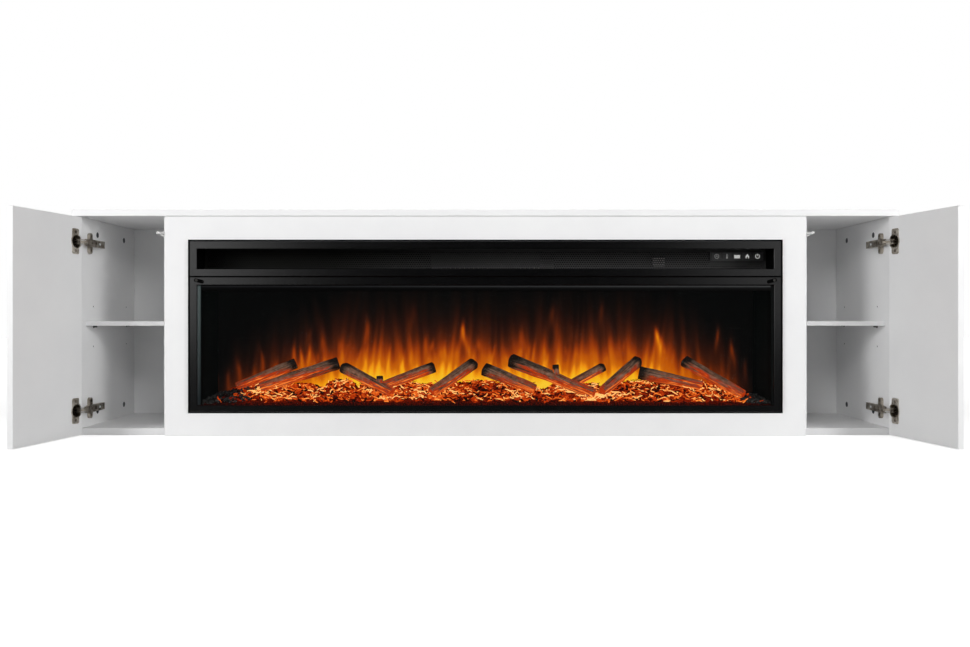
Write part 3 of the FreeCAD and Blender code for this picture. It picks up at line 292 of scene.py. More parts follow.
GREY_ENAMEL = powder_coat("grey_enamel", (0.10, 0.10, 0.105), (0.075, 0.075, 0.08), 0.45, 900)
# Painted shade on the grille: darker at the left, lighter towards the right
MESH_BLACK_PAINTED_SHADE = along_piece("mesh_black", "X", -0.40, 0.10, [
    (0.0, (0.011, 0.011, 0.010)), (1.0, (0.062, 0.061, 0.061))])
# Painted highlight on the glass's left edge: bright at its outer side, fading inward and towards the bottom
LEFT_GLASS_HIGHLIGHT = along_piece("left_glass_edge", "X", -WINDOW_HALF, LEFT_EDGE, [
    (0.0, (0.16, 0.19, 0.19)), (0.22, (0.16, 0.19, 0.19)), (0.30, (0.085, 0.11, 0.108)),
    (0.66, (0.060, 0.078, 0.077)), (0.80, (0.001, 0.002, 0.002)), (1.0, (0.001, 0.002, 0.002))],
    0.08, ("Z", 0.36, 0.09))
# Painted shade on the glass's right edge: a dark line
RIGHT_GLASS_SHADE = along_piece("right_glass_edge", "X", WINDOW_HALF, RIGHT_EDGE, [
    (0.0, (0.012, 0.014, 0.014)), (0.5, (0.006, 0.007, 0.007)), (1.0, (0.001, 0.001, 0.001))], 0.08)
# Painted highlight on the glass's top edge: a light line, fading towards the left
TOP_GLASS_HIGHLIGHT = along_piece("top_glass_edge", "Z", WINDOW_TOP, TOP_EDGE, [
    (0.0, (0.014, 0.014, 0.014)), (0.12, (0.016, 0.016, 0.016)), (0.18, (0.055, 0.057, 0.058)),
    (0.30, (0.055, 0.057, 0.058)), (0.38, (0.008, 0.008, 0.008)), (0.70, (0.003, 0.003, 0.003)),
    (1.0, (0.001, 0.001, 0.001))], 0.08, ("X", 0.74, -0.40))
RECEIVER = along_piece("receiver_window", "Z", RECEIVER_LOW[1], RECEIVER_HIGH[1], [
    (0.0, (0.44, 0.42, 0.41)), (1.0, (0.54, 0.51, 0.50))])
GLASS = clear_glass()
BOARD = circuit_board()
FLAME = flame_light()
EMBER = ember_glow()
COAL = charcoal()
BARK = burning_bark()
INK = pictogram_white("pictogram_white", 0.55)
DIM_INK = pictogram_white("pictogram_dim", 0.05)


def both(*names):
    """The left and the right node of each name."""
    return tuple(f"{label}_{name}" for label, side in SIDES for name in names)


FINISHES = {
    LAMINATE: ("top_panel", "bottom_panel", "front_surround", "rear_rail",
               *both("side_panel", "partition", "back_panel", "shelf", "door")),
    NICKEL: both("hinge_cups"),
    ARM_NICKEL: both("hinge_plates", "hinge_arms", "hinge_inner_links", "hinge_outer_links"),
    DARK_ZINC: ("connector_cams",),
    DARK_STEEL: ("shelf_pins", "glass_frame_screws"),
    WHITE_PLASTIC: both("latch_body", "latch_plunger"),
    SATIN_BLACK: ("upper_frame", "glass_frame"),
    MATT_BLACK: ("heater_duct",),
    CHAMBER_BLACK: ("mounting_flange", "housing_wrapper", "housing_ends", "heater_tray", "flame_screen"),
    MESH_BLACK_PAINTED_SHADE: ("perforated_grille",),
    KEY_PLASTIC: ("key_bezel", "timer_key", "temperature_key", "heat_key", "flame_key", "power_key"),
    GLASS: ("front_glass",),
    BOARD: ("control_board", "light_strip"),
    HEATED_STEEL: ("heating_element",),
    GREY_ENAMEL: ("blower_motor", "spindle_motor"),
    BLACK_PLASTIC: ("blower_wheel", "spindle_bearing", "cord_gland"),
    FOIL: ("flame_spindle",),
    EMBER: ("ember_bed",),
    BARK: ("left_logs", "middle_logs", "right_logs"),
}
for finish, names in FINISHES.items():
    for name in names:
        nodes[name].data.materials.clear()
        nodes[name].data.materials.append(finish)


# Mesh building

def held(value):
    """A value kept between 0 and 1."""
    return min(max(value, 0.0), 1.0)


def shown_object(name, data):
    made = bpy.data.objects.new(name, data)
    bpy.context.scene.collection.objects.link(made)
    return made


def piece_from(name, mesh, finish, body, smooth=False):
    """Put a mesh in the scene as a piece that moves with a body."""
    piece = shown_object(name, mesh)
    mesh.materials.clear()
    mesh.materials.append(finish)
    mesh.polygons.foreach_set("use_smooth", [smooth] * len(mesh.polygons))
    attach(piece, body)
    return piece


def mesh_of(name, points, faces):
    mesh = bpy.data.meshes.new(name)
    mesh.from_pydata(points, [], faces)
    mesh.update()
    return mesh


def mesh_from(name, shape):
    """A mesh from a bmesh, which is freed."""
    mesh = bpy.data.meshes.new(name)
    shape.to_mesh(mesh)
    shape.free()
    return mesh


def ring_faces(rings, sides):
    """Quads between rings of points that follow each other."""
    faces = []
    for k in range(rings - 1):
        for s in range(sides):
            n = (s + 1) % sides
            faces.append((k * sides + s, k * sides + n, (k + 1) * sides + n, (k + 1) * sides + s))
    return faces


def grid_faces(columns, rows):
    """Quads of a sheet of points, row after row."""
    return [(a, a + 1, a + columns + 1, a + columns)
            for j in range(rows - 1) for a in range(j * columns, (j + 1) * columns - 1)]


def circle(radius, sides):
    return [(radius * math.cos(2 * math.pi * s / sides), radius * math.sin(2 * math.pi * s / sides))
            for s in range(sides)]


def paint_points(mesh, name, values):
    """Store one number for each point of a mesh."""
    layer = mesh.attributes.new(name, "FLOAT", "POINT")
    layer.data.foreach_set("value", np.asarray(values, dtype=np.float32))


def settled(source, name):
    """The evaluated result of an object as a plain mesh; the object itself goes."""
    depsgraph = bpy.context.evaluated_depsgraph_get()
    mesh = bpy.data.meshes.new_from_object(source.evaluated_get(depsgraph))
    mesh.name = name
    old = source.data
    bpy.data.objects.remove(source)
    store = bpy.data.curves if isinstance(old, bpy.types.Curve) else bpy.data.meshes
    store.remove(old)
    return mesh


def joined(meshes, name):
    """Several meshes as one, with their attributes kept."""
    objects = [shown_object(name + "_part", mesh) for mesh in meshes]
    if len(objects) > 1:
        with bpy.context.temp_override(active_object=objects[0], selected_editable_objects=objects,
                                       selected_objects=objects):
            bpy.ops.object.join()
    whole = objects[0].data
    bpy.data.objects.remove(objects[0])
    whole.name = name
    return whole


def hidden_source(mesh):
    """An object that only serves as the shape to repeat."""
    return bpy.data.objects.new(mesh.name, mesh)


# Geometry trees for what repeats

def geometry_tree(name, **inputs):
    """A geometry tree with the named inputs, the sockets of what it is given, and its result."""
    tree = bpy.data.node_groups.new(name, "GeometryNodeTree")
    sockets = tree.interface
    sockets.new_socket("Geometry", in_out="INPUT", socket_type="NodeSocketGeometry")
    for label, kind in inputs.items():
        sockets.new_socket(label.replace("_", " "), in_out="INPUT", socket_type="NodeSocket" + kind)
    sockets.new_socket("Geometry", in_out="OUTPUT", socket_type="NodeSocketGeometry")
    return tree, tree.nodes.new("NodeGroupInput").outputs, tree.nodes.new("NodeGroupOutput")


def copies_on(tree, points, shape, **inputs):
    """Copies of a shape, one on each point."""
    info = put(tree, "GeometryNodeObjectInfo", Object=shape)
    copies = put(tree, "GeometryNodeInstanceOnPoints", Points=points, Instance=info.outputs["Geometry"],
                 **inputs)
    return copies.outputs["Instances"]


def end_tree(tree, instances, finish, result):
    """Make the copies real, give them their finish and hand them out."""
    solid = put(tree, "GeometryNodeRealizeInstances", Geometry=instances)
    dressed = put(tree, "GeometryNodeSetMaterial", Geometry=solid.outputs["Geometry"], Material=finish)
    feed(tree, result, Geometry=dressed.outputs["Geometry"])
    return tree


def grow(tree, carrier_mesh, name, **settings):
    """Run a geometry tree on a carrier mesh with the settings of its named inputs."""
    carrier = shown_object(name + "_carrier", carrier_mesh)
    modifier = carrier.modifiers.new("grow", "NODES")
    modifier.node_group = tree
    for item in tree.interface.items_tree:
        label = item.name.replace(" ", "_")
        if item.item_type == "SOCKET" and item.in_out == "INPUT" and label in settings:
            modifier[item.identifier] = settings[label]
    return settled(carrier, name)


def staggered_tree():
    """Repeat a cell over a sheet, every second row moved by half a pitch."""
    tree, given, result = geometry_tree("staggered_perforation", Cell="Object", Width="Float", Height="Float",
                                        Columns="Int", Rows="Int", Pitch="Float", Finish="Material")
    grid = put(tree, "GeometryNodeMeshGrid", Size_X=given["Width"], Size_Y=given["Height"],
               Vertices_X=given["Columns"], Vertices_Y=given["Rows"])
    row = calc(tree, "MODULO", put(tree, "GeometryNodeInputIndex").outputs["Index"], given["Rows"])
    shift = calc(tree, "MULTIPLY", calc(tree, "MODULO", row, 2.0), given["Pitch"])
    offset = put(tree, "ShaderNodeCombineXYZ", X=calc(tree, "MULTIPLY", shift, 0.5))
    moved = put(tree, "GeometryNodeSetPosition", Geometry=grid.outputs["Mesh"],
                Offset=offset.outputs["Vector"])
    upright = put(tree, "GeometryNodeTransform", Geometry=moved.outputs["Geometry"],
                  Rotation=(math.radians(90), 0, 0))
    cells = copies_on(tree, upright.outputs["Geometry"], given["Cell"])
    return end_tree(tree, cells, given["Finish"], result)


def scatter_tree():
    """Strew copies of a shape over marked points, each with its own turn, size and heat."""
    tree, given, result = geometry_tree("strewn_pieces", Shape="Object", Least_size="Float",
                                        Most_size="Float", Tilt="Float", Heat_spread="Float", Seed="Int",
                                        Finish="Material")

    def drawn(kind, slots):
        return put(tree, "FunctionNodeRandomValue", {"data_type": kind}, slots, Seed=given["Seed"]).outputs

    corners = []
    for way in (-1.0, 1.0):
        tilt = calc(tree, "MULTIPLY", given["Tilt"], way)
        corners.append(put(tree, "ShaderNodeCombineXYZ", X=tilt, Y=tilt, Z=way * math.pi).outputs["Vector"])
    turn = drawn("FLOAT_VECTOR", {0: corners[0], 1: corners[1]})[0]
    size = drawn("FLOAT", {2: given["Least size"], 3: given["Most size"]})[1]
    copies = copies_on(tree, given["Geometry"], given["Shape"], Rotation=turn, Scale=size)
    bed = put(tree, "GeometryNodeInputNamedAttribute", {"data_type": "FLOAT"}, Name="bed_heat")
    less = calc(tree, "MULTIPLY", given["Heat spread"], -1.0)
    own = drawn("FLOAT", {2: less, 3: given["Heat spread"]})[1]
    marked = put(tree, "GeometryNodeStoreNamedAttribute", {"data_type": "FLOAT", "domain": "INSTANCE"},
                 Geometry=copies, Name="ember_heat", Value=calc(tree, "ADD", bed.outputs["Attribute"], own))
    return end_tree(tree, marked.outputs["Geometry"], given["Finish"], result)


def fastener_tree():
    """Set a fastener on each point, turned the way the point's own numbers say."""
    tree, given, result = geometry_tree("set_fasteners", Fastener="Object", Size="Float", Finish="Material")
    facing = put(tree, "GeometryNodeInputNamedAttribute", {"data_type": "FLOAT_VECTOR"}, Name="facing")
    copies = copies_on(tree, given["Geometry"], given["Fastener"], Rotation=facing.outputs["Attribute"],
                       Scale=given["Size"])
    return end_tree(tree, copies, given["Finish"], result)


# Perforated grille

def perforation_cell(pitch, rise, radius, thickness):
    """One cell of the sheet: a rectangle with an eight-sided hole through it."""
    half_w, half_h = pitch / 2, rise / 2
    outer = [(half_w, 0), (half_w, half_h), (0, half_h), (-half_w, half_h),
             (-half_w, 0), (-half_w, -half_h), (0, -half_h), (half_w, -half_h)]
    points = [(x, y, z) for y in (0.0, thickness) for loop in (outer, circle(radius, 8)) for x, z in loop]
    faces = []
    for i in range(8):
        j = (i + 1) % 8
        faces.append((i, 8 + i, 8 + j, j))
        faces.append((16 + i, 16 + j, 24 + j, 24 + i))
        faces.append((8 + i, 24 + i, 24 + j, 8 + j))
    return mesh_of("perforation_cell", points, faces)


def add_box(shape, low, high):
    """Add a box to a bmesh, between two corners."""
    made = bmesh.ops.create_cube(shape, size=1.0)
    bmesh.ops.scale(shape, vec=Vector(high) - Vector(low), verts=made["verts"])
    bmesh.ops.translate(shape, vec=(Vector(high) + Vector(low)) / 2, verts=made["verts"])


def make_grille():
    """The fine grille: a perforated field with a plain margin all round."""
    low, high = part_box("perforated_grille")
    pitch, rise, radius = 0.0060, 0.0052, 0.0019
    columns, rows = 246, 10
    cell = hidden_source(perforation_cell(pitch, rise, radius, high.y - low.y))
    sheet = grow(staggered_tree(), mesh_of("sheet_carrier", [], []), "perforated_sheet", Cell=cell,
                 Width=pitch * (columns - 1), Height=rise * (rows - 1), Columns=columns, Rows=rows,
                 Pitch=pitch, Finish=MESH_BLACK_PAINTED_SHADE)
    middle_z = 0.4528
    sheet.transform(Matrix.Translation((-pitch / 4, low.y, middle_z)))
    shape = bmesh.new()
    shape.from_mesh(sheet)
    half_w = pitch * columns / 2
    left, right = -half_w, half_w - pitch / 2
    bottom, top = middle_z - rise * rows / 2, middle_z + rise * rows / 2
    for x0, z0, x1, z1 in ((low.x, low.z, high.x, bottom), (low.x, top, high.x, high.z),
                           (low.x, bottom, left, top), (right, bottom, high.x, top)):
        add_box(shape, (x0, low.y, z0), (x1, high.y, z1))
    piece = piece_from("fine_grille", mesh_from("fine_grille", shape), MESH_BLACK_PAINTED_SHADE, "carcass")
    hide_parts("perforated_grille")


make_grille()


# Logs in millimetres: place and setback of the foot, place, setback and rise of the head, the head's radius

LOGS = {
    "left_logs": ((-667, 105, -519, 150, 105, 15), (-600, 85, -403, 150, 105, 18),
                  (-244, 45, -383, 115, 96, 17)),
    "middle_logs": ((-271, 95, -140, 140, 95, 15), (-142, 50, -31, 150, 105, 16), (131, 70, -4, 110, 92, 18),
                    (282, 32, 70, 150, 114, 19)),
    "right_logs": ((229, 120, 324, 160, 94, 15), (306, 50, 418, 150, 111, 17), (577, 85, 414, 115, 81, 19),
                   (674, 45, 544, 150, 111, 16)),
}
FOOT_RADIUS = 0.0135
FOOT_LIFT = 0.0125

# Branch stubs: how far up the log each one stands, and its rise

BRANCHES = {("left_logs", 2): (0.24, 0.027), ("middle_logs", 3): (0.44, 0.037)}
BRANCH_ROOT, BRANCH_TIP = 0.0100, 0.0088


# Fuel bed: heaps of embers as place, width and share of the greatest height, and gaps at its rear

HEAPS = ((-0.393, 0.045, 1.1), (-0.225, 0.05, 0.5), (-0.015, 0.06, 0.7), (0.418, 0.05, 0.8),
         (0.553, 0.06, 0.9))
HEAP_HEIGHT = 0.010
GAPS = ((-0.447, 0.018), (-0.350, 0.010), (0.158, 0.020), (0.332, 0.014))
GAP_DEPTH = 0.016
LUMP_HEIGHT = 0.003
BED_HALF = 0.735

# Setback and height of the bed's top at its lip, at its step and at its rear

BED_LIP, BED_STEP, BED_REAR = (0.008, 0.012), (0.096, 0.034), (0.189, 0.044)

# Where the glow ends, how far a log's foot lights the bed, and where chips and coals lie

GLOW_LEFT, GLOW_RIGHT, GLOW_FADE = -0.665, 0.700, 0.05
FOOT_GLOW_WIDE, FOOT_GLOW_DEEP = 0.040, 0.035
CHIP_SPAN, CHIP_SETBACK = (-0.690, 0.705), (0.010, 0.180)
COAL_SETBACK = (0.010, 0.120)


def rear_gap(x, setback):
    """How much of a gap the rear of the bed has at a place, where the fire shows under a log."""
    return held((setback - 0.10) / 0.04) * sum(math.exp(-((x - middle) / wide) ** 2) for middle, wide in GAPS)


def near_feet(x, setback):
    """How near a place is to the feet of the logs."""
    near = 0.0
    for spans in LOGS.values():
        for foot_x, foot_back, *head in spans:
            aside = (x - foot_x / 1000) / FOOT_GLOW_WIDE
            away = (setback - foot_back / 1000) / FOOT_GLOW_DEEP
            near += math.exp(-aside ** 2 - away ** 2)
    return near


def bed_height(x, setback):
    """Height of the ember bed's top, with heaps, at a place on the hearth."""
    (near, low), (far, high) = (BED_LIP, BED_STEP) if setback < BED_STEP[0] else (BED_STEP, BED_REAR)
    top = low + (high - low) * (setback - near) / (far - near)
    top *= 0.45 + 0.55 * held((BED_HALF - abs(x)) / 0.10)
    heap = 0.4 * noise.fractal(Vector((x * 9.0, setback * 14.0, 3.1)), 1.0, 2.0, 3)
    for middle, wide, tall in HEAPS:
        heap += tall * math.exp(-((x - middle) / wide) ** 2)
    lump = noise.noise(Vector((x * 46.0, setback * 46.0, 8.7)))
    rear = held((setback - 0.035) / 0.08)
    raised = rear * HEAP_HEIGHT * heap + LUMP_HEIGHT * lump
    return HEARTH + top + raised - GAP_DEPTH * rear_gap(x, setback)


def bed_heat(x, setback):
    """How hot the bed is: dark at both ends and along the front lip, hot at the feet of the logs."""
    ends = min(held((x - GLOW_LEFT) / GLOW_FADE), held((GLOW_RIGHT - x) / GLOW_FADE))
    lip = held((setback + 0.016) / 0.036)
    drift = 0.5 + 0.5 * noise.noise(Vector((x * 13.0, setback * 20.0, 1.3)))
    return ends * lip * (0.30 + 0.36 * drift + 0.24 * near_feet(x, setback))


def make_bed_surface():
    """The moulded bed: a lumpy top over a skirt down to the floor of the chamber."""
    low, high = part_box("ember_bed")
    columns, rows = 331, 41
    points, heats = [], []
    for j in range(rows):
        setback = (low.y - FRONT) + (high.y - low.y) * j / (rows - 1)
        for i in range(columns):
            x = low.x + (high.x - low.x) * i / (columns - 1)
            points.append((x, FRONT + setback, bed_height(x, setback)))
            heats.append(bed_heat(x, setback) * 0.25)
    faces = grid_faces(columns, rows)
    last = (rows - 1) * columns
    rim = [*range(columns), *range(2 * columns - 1, last + columns, columns),
           *range(last + columns - 2, last - 1, -1), *range(last - columns, 0, -columns)]
    start = len(points)
    for k, index in enumerate(rim):
        x, y, z = points[index]
        points.append((x, y, low.z))
        heats.append(0.0)
        following = (k + 1) % len(rim)
        faces.append((index, start + k, start + following, rim[following]))
    faces.append(tuple(range(start + len(rim) - 1, start - 1, -1)))
    mesh = mesh_of("ember_bed_surface", points, faces)
    paint_points(mesh, "ember_heat", heats)
    return mesh


def chip_mesh(name, length, width, depth, curl, rings):
    """A splinter of ember with a curled, tapering body."""
    sides = 5
    points = []
    for k in range(rings):
        t = k / (rings - 1)
        taper = 0.30 + 0.70 * math.sin(math.pi * (0.12 + 0.76 * t))
        bend = curl * length * math.sin(math.pi * t)
        rise = 0.4 * curl * length * math.sin(2 * math.pi * t)
        for across, up in circle(taper / 2, sides):
            points.append((length * (t - 0.5), bend + width * across, rise + depth * up))
    ends = [tuple(range(sides - 1, -1, -1)), tuple(range((rings - 1) * sides, rings * sides))]
    return mesh_of(name, points, ring_faces(rings, sides) + ends)


def lump_mesh(name, size, seed):
    """A broken lump of coal."""
    shape = bmesh.new()
    bmesh.ops.create_icosphere(shape, subdivisions=2, radius=size / 2)
    for vertex in shape.verts:
        shove = noise.noise(vertex.co * (2.4 / size) + Vector((seed * 3.7, 0.0, 0.0)))
        vertex.co *= 1.0 + 0.38 * shove
        vertex.co.z *= 0.8
    return mesh_from(name, shape)


def strewn_points(name, count, seed, x_span, setback_span, lift, warmer, wanted):
    """Points on the bed, kept where a wanted share of them lies, each with the bed's heat there."""
    chance = random.Random(seed)
    points, heats = [], []
    while len(points) < count:
        x = chance.uniform(*x_span)
        setback = chance.uniform(*setback_span)
        if chance.random() > wanted(x, setback):
            continue
        points.append((x, FRONT + setback, bed_height(x, setback) + chance.uniform(*lift)))
        heats.append(bed_heat(x, setback) + warmer)
    mesh = mesh_of(name, points, [])
    paint_points(mesh, "bed_heat", heats)
    return mesh


def chips_wanted(x, setback):
    """The share of chips that stay at a place: more where the bed is hot, few over its gaps."""
    return 0.25 + bed_heat(x, setback) - 1.5 * rear_gap(x, setback)


def coals_wanted(x, setback):
    """The share of coals that stay at a place: all of them."""
    return 1.0


def make_fuel_bed():
    """The glowing bed with its chips, and the dark coals at both ends."""
    scatter = scatter_tree()
    splinter = chip_mesh("ember_splinter", length=0.021, width=0.0026, depth=0.0026, curl=0.10, rings=5)
    flake = chip_mesh("ember_flake", length=0.013, width=0.0046, depth=0.0034, curl=-0.18, rings=5)
    crust = chip_mesh("ember_crust", length=0.015, width=0.0095, depth=0.0070, curl=0.05, rings=4)
    plan = (
        # shape, count, seed, tilt, lift over the bed, how much warmer than the bed
        (splinter, 1500, 11, 0.55, (0.002, 0.008), 0.06),
        (flake, 1300, 12, 0.60, (0.001, 0.006), -0.14),
        (crust, 900, 13, 0.7, (0.000, 0.006), -0.36),
    )
    beds = [make_bed_surface()]
    for chip, count, seed, tilt, lift, warmer in plan:
        spots = strewn_points(chip.name + "_spots", count, seed, CHIP_SPAN, CHIP_SETBACK, lift, warmer,
                              chips_wanted)
        beds.append(grow(scatter, spots, chip.name + "_set", Shape=hidden_source(chip), Least_size=0.7,
                         Most_size=1.35, Tilt=tilt, Heat_spread=0.52, Seed=seed, Finish=EMBER))
    bed = piece_from("glowing_bed", joined(beds, "glowing_bed"), EMBER, "carcass")
    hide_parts("ember_bed")
    coal = hidden_source(lump_mesh("coal_lump", size=0.0085, seed=5))
    heaps = []
    for seed, count, x_span in ((21, 330, (-BED_HALF, -0.610)), (22, 260, (0.665, BED_HALF))):
        spots = strewn_points(f"coal_spots_{seed}", count, seed, x_span, COAL_SETBACK, (0.001, 0.006), 0.0,
                              coals_wanted)
        heaps.append(grow(scatter, spots, f"coal_heap_{seed}", Shape=coal, Least_size=0.5, Most_size=1.15,
                          Tilt=1.2, Heat_spread=0.0, Seed=seed, Finish=COAL))
    piece_from("dark_coals", joined(heaps, "dark_coals"), COAL, "carcass")


make_fuel_bed()


# Bark: how square and flat a log's section is, and how wide its grooves and cross checks are

SQUARENESS, FLATNESS = 3.2, 0.86
GROOVE_WIDTH, CHECK_WIDTH = 0.13, 0.06


def bark_mesh(name, start, end, thick, thin, seed, rings=72, sides=60, burnt=0.84):
    """A split log's bark, with the three numbers its finish reads at each point."""
    along = end - start
    length = along.length
    axis = along.normalized()
    side = axis.cross(Vector((0, 0, 1))).normalized()
    up = side.cross(axis)
    twist = 0.5 + seed * 1.9
    points, char_and_top_shade, glows, grooves = [], [], [], []
    for k in range(rings + 1):
        t = k / rings
        radius = thick + (thin - thick) * t
        far = t * length
        foot = 1.0 - t
        for s in range(sides):
            turn = 2 * math.pi * s / sides
            outward = side * math.cos(turn) + up * math.sin(turn)
            c, n = math.cos(turn + twist), math.sin(turn + twist)
            split = 0.97 / (abs(c) ** SQUARENESS + abs(n / FLATNESS) ** SQUARENESS) ** (1 / SQUARENESS)
            rib = noise.noise(Vector((c * 4.2 + seed * 3.1, n * 4.2, far * 5.5)))
            fine = noise.fractal(Vector((c * 6.0, n * 6.0 + seed, far * 26.0)), 1.0, 2.0, 3)
            deep = max(0.0, 1.0 - abs(rib) / GROOVE_WIDTH)
            cross = noise.noise(Vector((c * 2.0 + seed, n * 2.0, far * 55.0)))
            check = max(0.0, 1.0 - abs(cross) / CHECK_WIDTH) * 0.5
            swell = noise.noise(Vector((far * 15.0, seed * 2.3, 0.6 * c)))
            ragged = 0.06 if k in (0, rings) else 0.0
            share = split + 0.05 * fine + 0.12 * swell - 0.12 * deep - 0.05 * check - ragged
            points.append(start + along * t + outward * radius * 0.97 * share)
            head = held((t - burnt + 0.05 * fine) / 0.10)
            streak = noise.noise(Vector((c * 5.5 + seed * 5.3, n * 5.5, far * 12.0)))
            streak += 0.6 * noise.noise(Vector((c * 9.0, n * 9.0 + seed * 2.7, far * 60.0)))
            # Painted shade: the top of the log is darkened, in the char share and in the glow
            top = held((outward.z - 0.35) / 0.5)
            char_and_top_shade.append(min(1.0, 0.95 * head + 0.45 * top))
            # Painted firelight: glow on the underside and towards the foot, less in the grooves
            under = held((0.30 + 0.45 * streak - outward.z) / 0.75)
            warm = min(1.0, under * (0.35 + 0.65 * min(1.0, foot * 1.4)) + 0.70 * foot ** 2)
            lit = 0.19 + 0.46 * warm + 0.60 * streak * (0.25 + 0.75 * warm) - 0.30 * deep - 0.10 * top
            glows.append(max(0.0, lit) * (1.0 - 0.85 * head))
            grooves.append(min(1.0, 0.85 * deep + 0.4 * check))
    faces = ring_faces(rings + 1, sides)
    ends = (
        # ring, its middle, way the end looks, char of its rim and middle, glow
        (0, start, -1, 0.35, 0.5, 0.5),
        (rings, end, 1, 0.62, 0.75, 0.05),
    )
    for ring, centre, way, rim_char, middle_char, glow in ends:
        loop = [ring * sides + s for s in range(sides)]
        inner = len(points)
        for index in loop:
            points.append(centre + (points[index] - centre) * 0.80 - axis * 0.0014 * way)
        points.append(centre - axis * 0.0022 * way)
        char_and_top_shade += [rim_char] * sides + [middle_char]
        glows += [glow] * (sides + 1)
        grooves += [0.2] * sides + [0.5]
        for s in range(sides):
            n = (s + 1) % sides
            faces.append((loop[s], loop[n], inner + n, inner + s)[::way])
            faces.append((inner + s, inner + n, inner + sides)[::way])
    mesh = mesh_of(name, points, faces)
    for label, values in (("char", char_and_top_shade), ("glow", glows), ("groove", grooves)):
        paint_points(mesh, label, values)
    return mesh


def make_logs():
    """The three groups of logs, their feet sunk a little in the ember chips."""
    seed = 0
    for group_name, spans in LOGS.items():
        tubes = []
        for index, span_in_mm in enumerate(spans):
            foot_x, foot_back, head_x, head_back, rise, wide = (value / 1000 for value in span_in_mm)
            seed += 1
            head = Vector((head_x, FRONT + head_back, HEARTH + rise))
            foot = Vector((foot_x, FRONT + foot_back, bed_height(foot_x, foot_back) + FOOT_LIFT))
            tubes.append(bark_mesh(f"{group_name}_{index}", foot, head, FOOT_RADIUS, wide, seed))
            if (group_name, index) in BRANCHES:
                share, rise_above = BRANCHES[group_name, index]
                root = foot + (head - foot) * share
                tip = root + Vector((-0.002, 0.005, rise_above))
                tubes.append(bark_mesh(f"{group_name}_{index}_branch", root, tip, BRANCH_ROOT, BRANCH_TIP,
                                       seed + 40, rings=20, sides=24, burnt=0.62))
        bark_name = group_name + "_bark"
        piece = piece_from(bark_name, joined(tubes, bark_name), BARK, "carcass", True)
        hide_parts(group_name)


make_logs()


# Flames, as light on a sheet just in front of the screen

TONGUES = (
    # place, height of the tip, half width, lean, how hot the tip is
    (-0.754, 0.165, 0.010, 0.05, 0.2), (-0.715, 0.170, 0.010, 0.06, 0.2), (-0.688, 0.193, 0.010, -0.03, 0.2),
    (-0.648, 0.172, 0.012, 0.08, 0.4), (-0.623, 0.228, 0.008, -0.12, 0.4), (-0.585, 0.190, 0.014, 0.10, 0.5),
    (-0.565, 0.248, 0.008, 0.04, 0.1), (-0.532, 0.242, 0.012, 0.06, 0.5), (-0.512, 0.224, 0.006, -0.08, 0.7),
    (-0.494, 0.232, 0.005, 0.10, 0.7), (-0.489, 0.298, 0.009, 0.14, 0.0), (-0.462, 0.260, 0.012, 0.05, 0.3),
    (-0.411, 0.256, 0.012, 0.03, 0.4), (-0.387, 0.250, 0.005, 0.18, 0.5), (-0.353, 0.229, 0.007, 0.16, 0.8),
    (-0.333, 0.313, 0.014, 0.02, 0.4), (-0.311, 0.240, 0.014, 0.08, 0.5), (-0.269, 0.226, 0.005, 0.10, 0.9),
    (-0.205, 0.352, 0.010, 0.03, 0.0), (-0.185, 0.256, 0.012, -0.05, 0.5), (-0.163, 0.268, 0.013, 0.10, 0.5),
    (-0.133, 0.290, 0.022, 0.05, 0.1), (-0.113, 0.218, 0.008, -0.10, 0.6), (-0.057, 0.300, 0.010, -0.10, 0.9),
    (-0.029, 0.226, 0.010, 0.05, 0.7), (0.000, 0.224, 0.010, -0.05, 0.6), (0.019, 0.229, 0.006, 0.12, 0.9),
    (0.071, 0.271, 0.010, 0.02, 0.1), (0.103, 0.288, 0.010, 0.03, 0.4), (0.131, 0.243, 0.005, 0.16, 0.8),
    (0.171, 0.224, 0.006, 0.18, 0.8), (0.191, 0.350, 0.013, -0.02, 0.2), (0.230, 0.304, 0.026, 0.05, 0.1),
    (0.256, 0.241, 0.010, 0.05, 0.5), (0.294, 0.224, 0.010, -0.05, 0.6), (0.323, 0.356, 0.011, 0.00, 0.0),
    (0.347, 0.250, 0.010, 0.05, 0.6), (0.367, 0.258, 0.012, 0.10, 0.5), (0.404, 0.236, 0.014, -0.05, 0.6),
    (0.441, 0.266, 0.009, 0.04, 0.2), (0.480, 0.285, 0.011, -0.10, 0.9), (0.508, 0.226, 0.007, 0.04, 0.7),
    (0.525, 0.288, 0.010, -0.05, 0.0), (0.559, 0.208, 0.014, -0.04, 0.5), (0.609, 0.190, 0.014, 0.05, 0.4),
    (0.645, 0.290, 0.009, 0.02, 0.3), (0.661, 0.180, 0.010, 0.02, 0.2), (0.690, 0.246, 0.010, -0.03, 0.3),
    (0.726, 0.204, 0.010, 0.05, 0.1),
)
SMALL_TONGUES = 170
TONGUE_LENGTH = 0.11
FIRE_FOOT = 0.112


def fire_reach(across):
    """How much higher or lower the fire stands along the hearth, against its middle."""
    places = (-0.75, -0.70, -0.66, -0.56, -0.43, -0.35, -0.02, 0.07, 0.15, 0.43, 0.515, 0.60, 0.69, 0.75)
    reaches = (-0.25, -0.145, -0.118, -0.066, -0.016, 0.0, 0.0, -0.010, 0.0, 0.0, -0.014, -0.060, -0.115,
               -0.25)
    return np.interp(across, places, reaches)


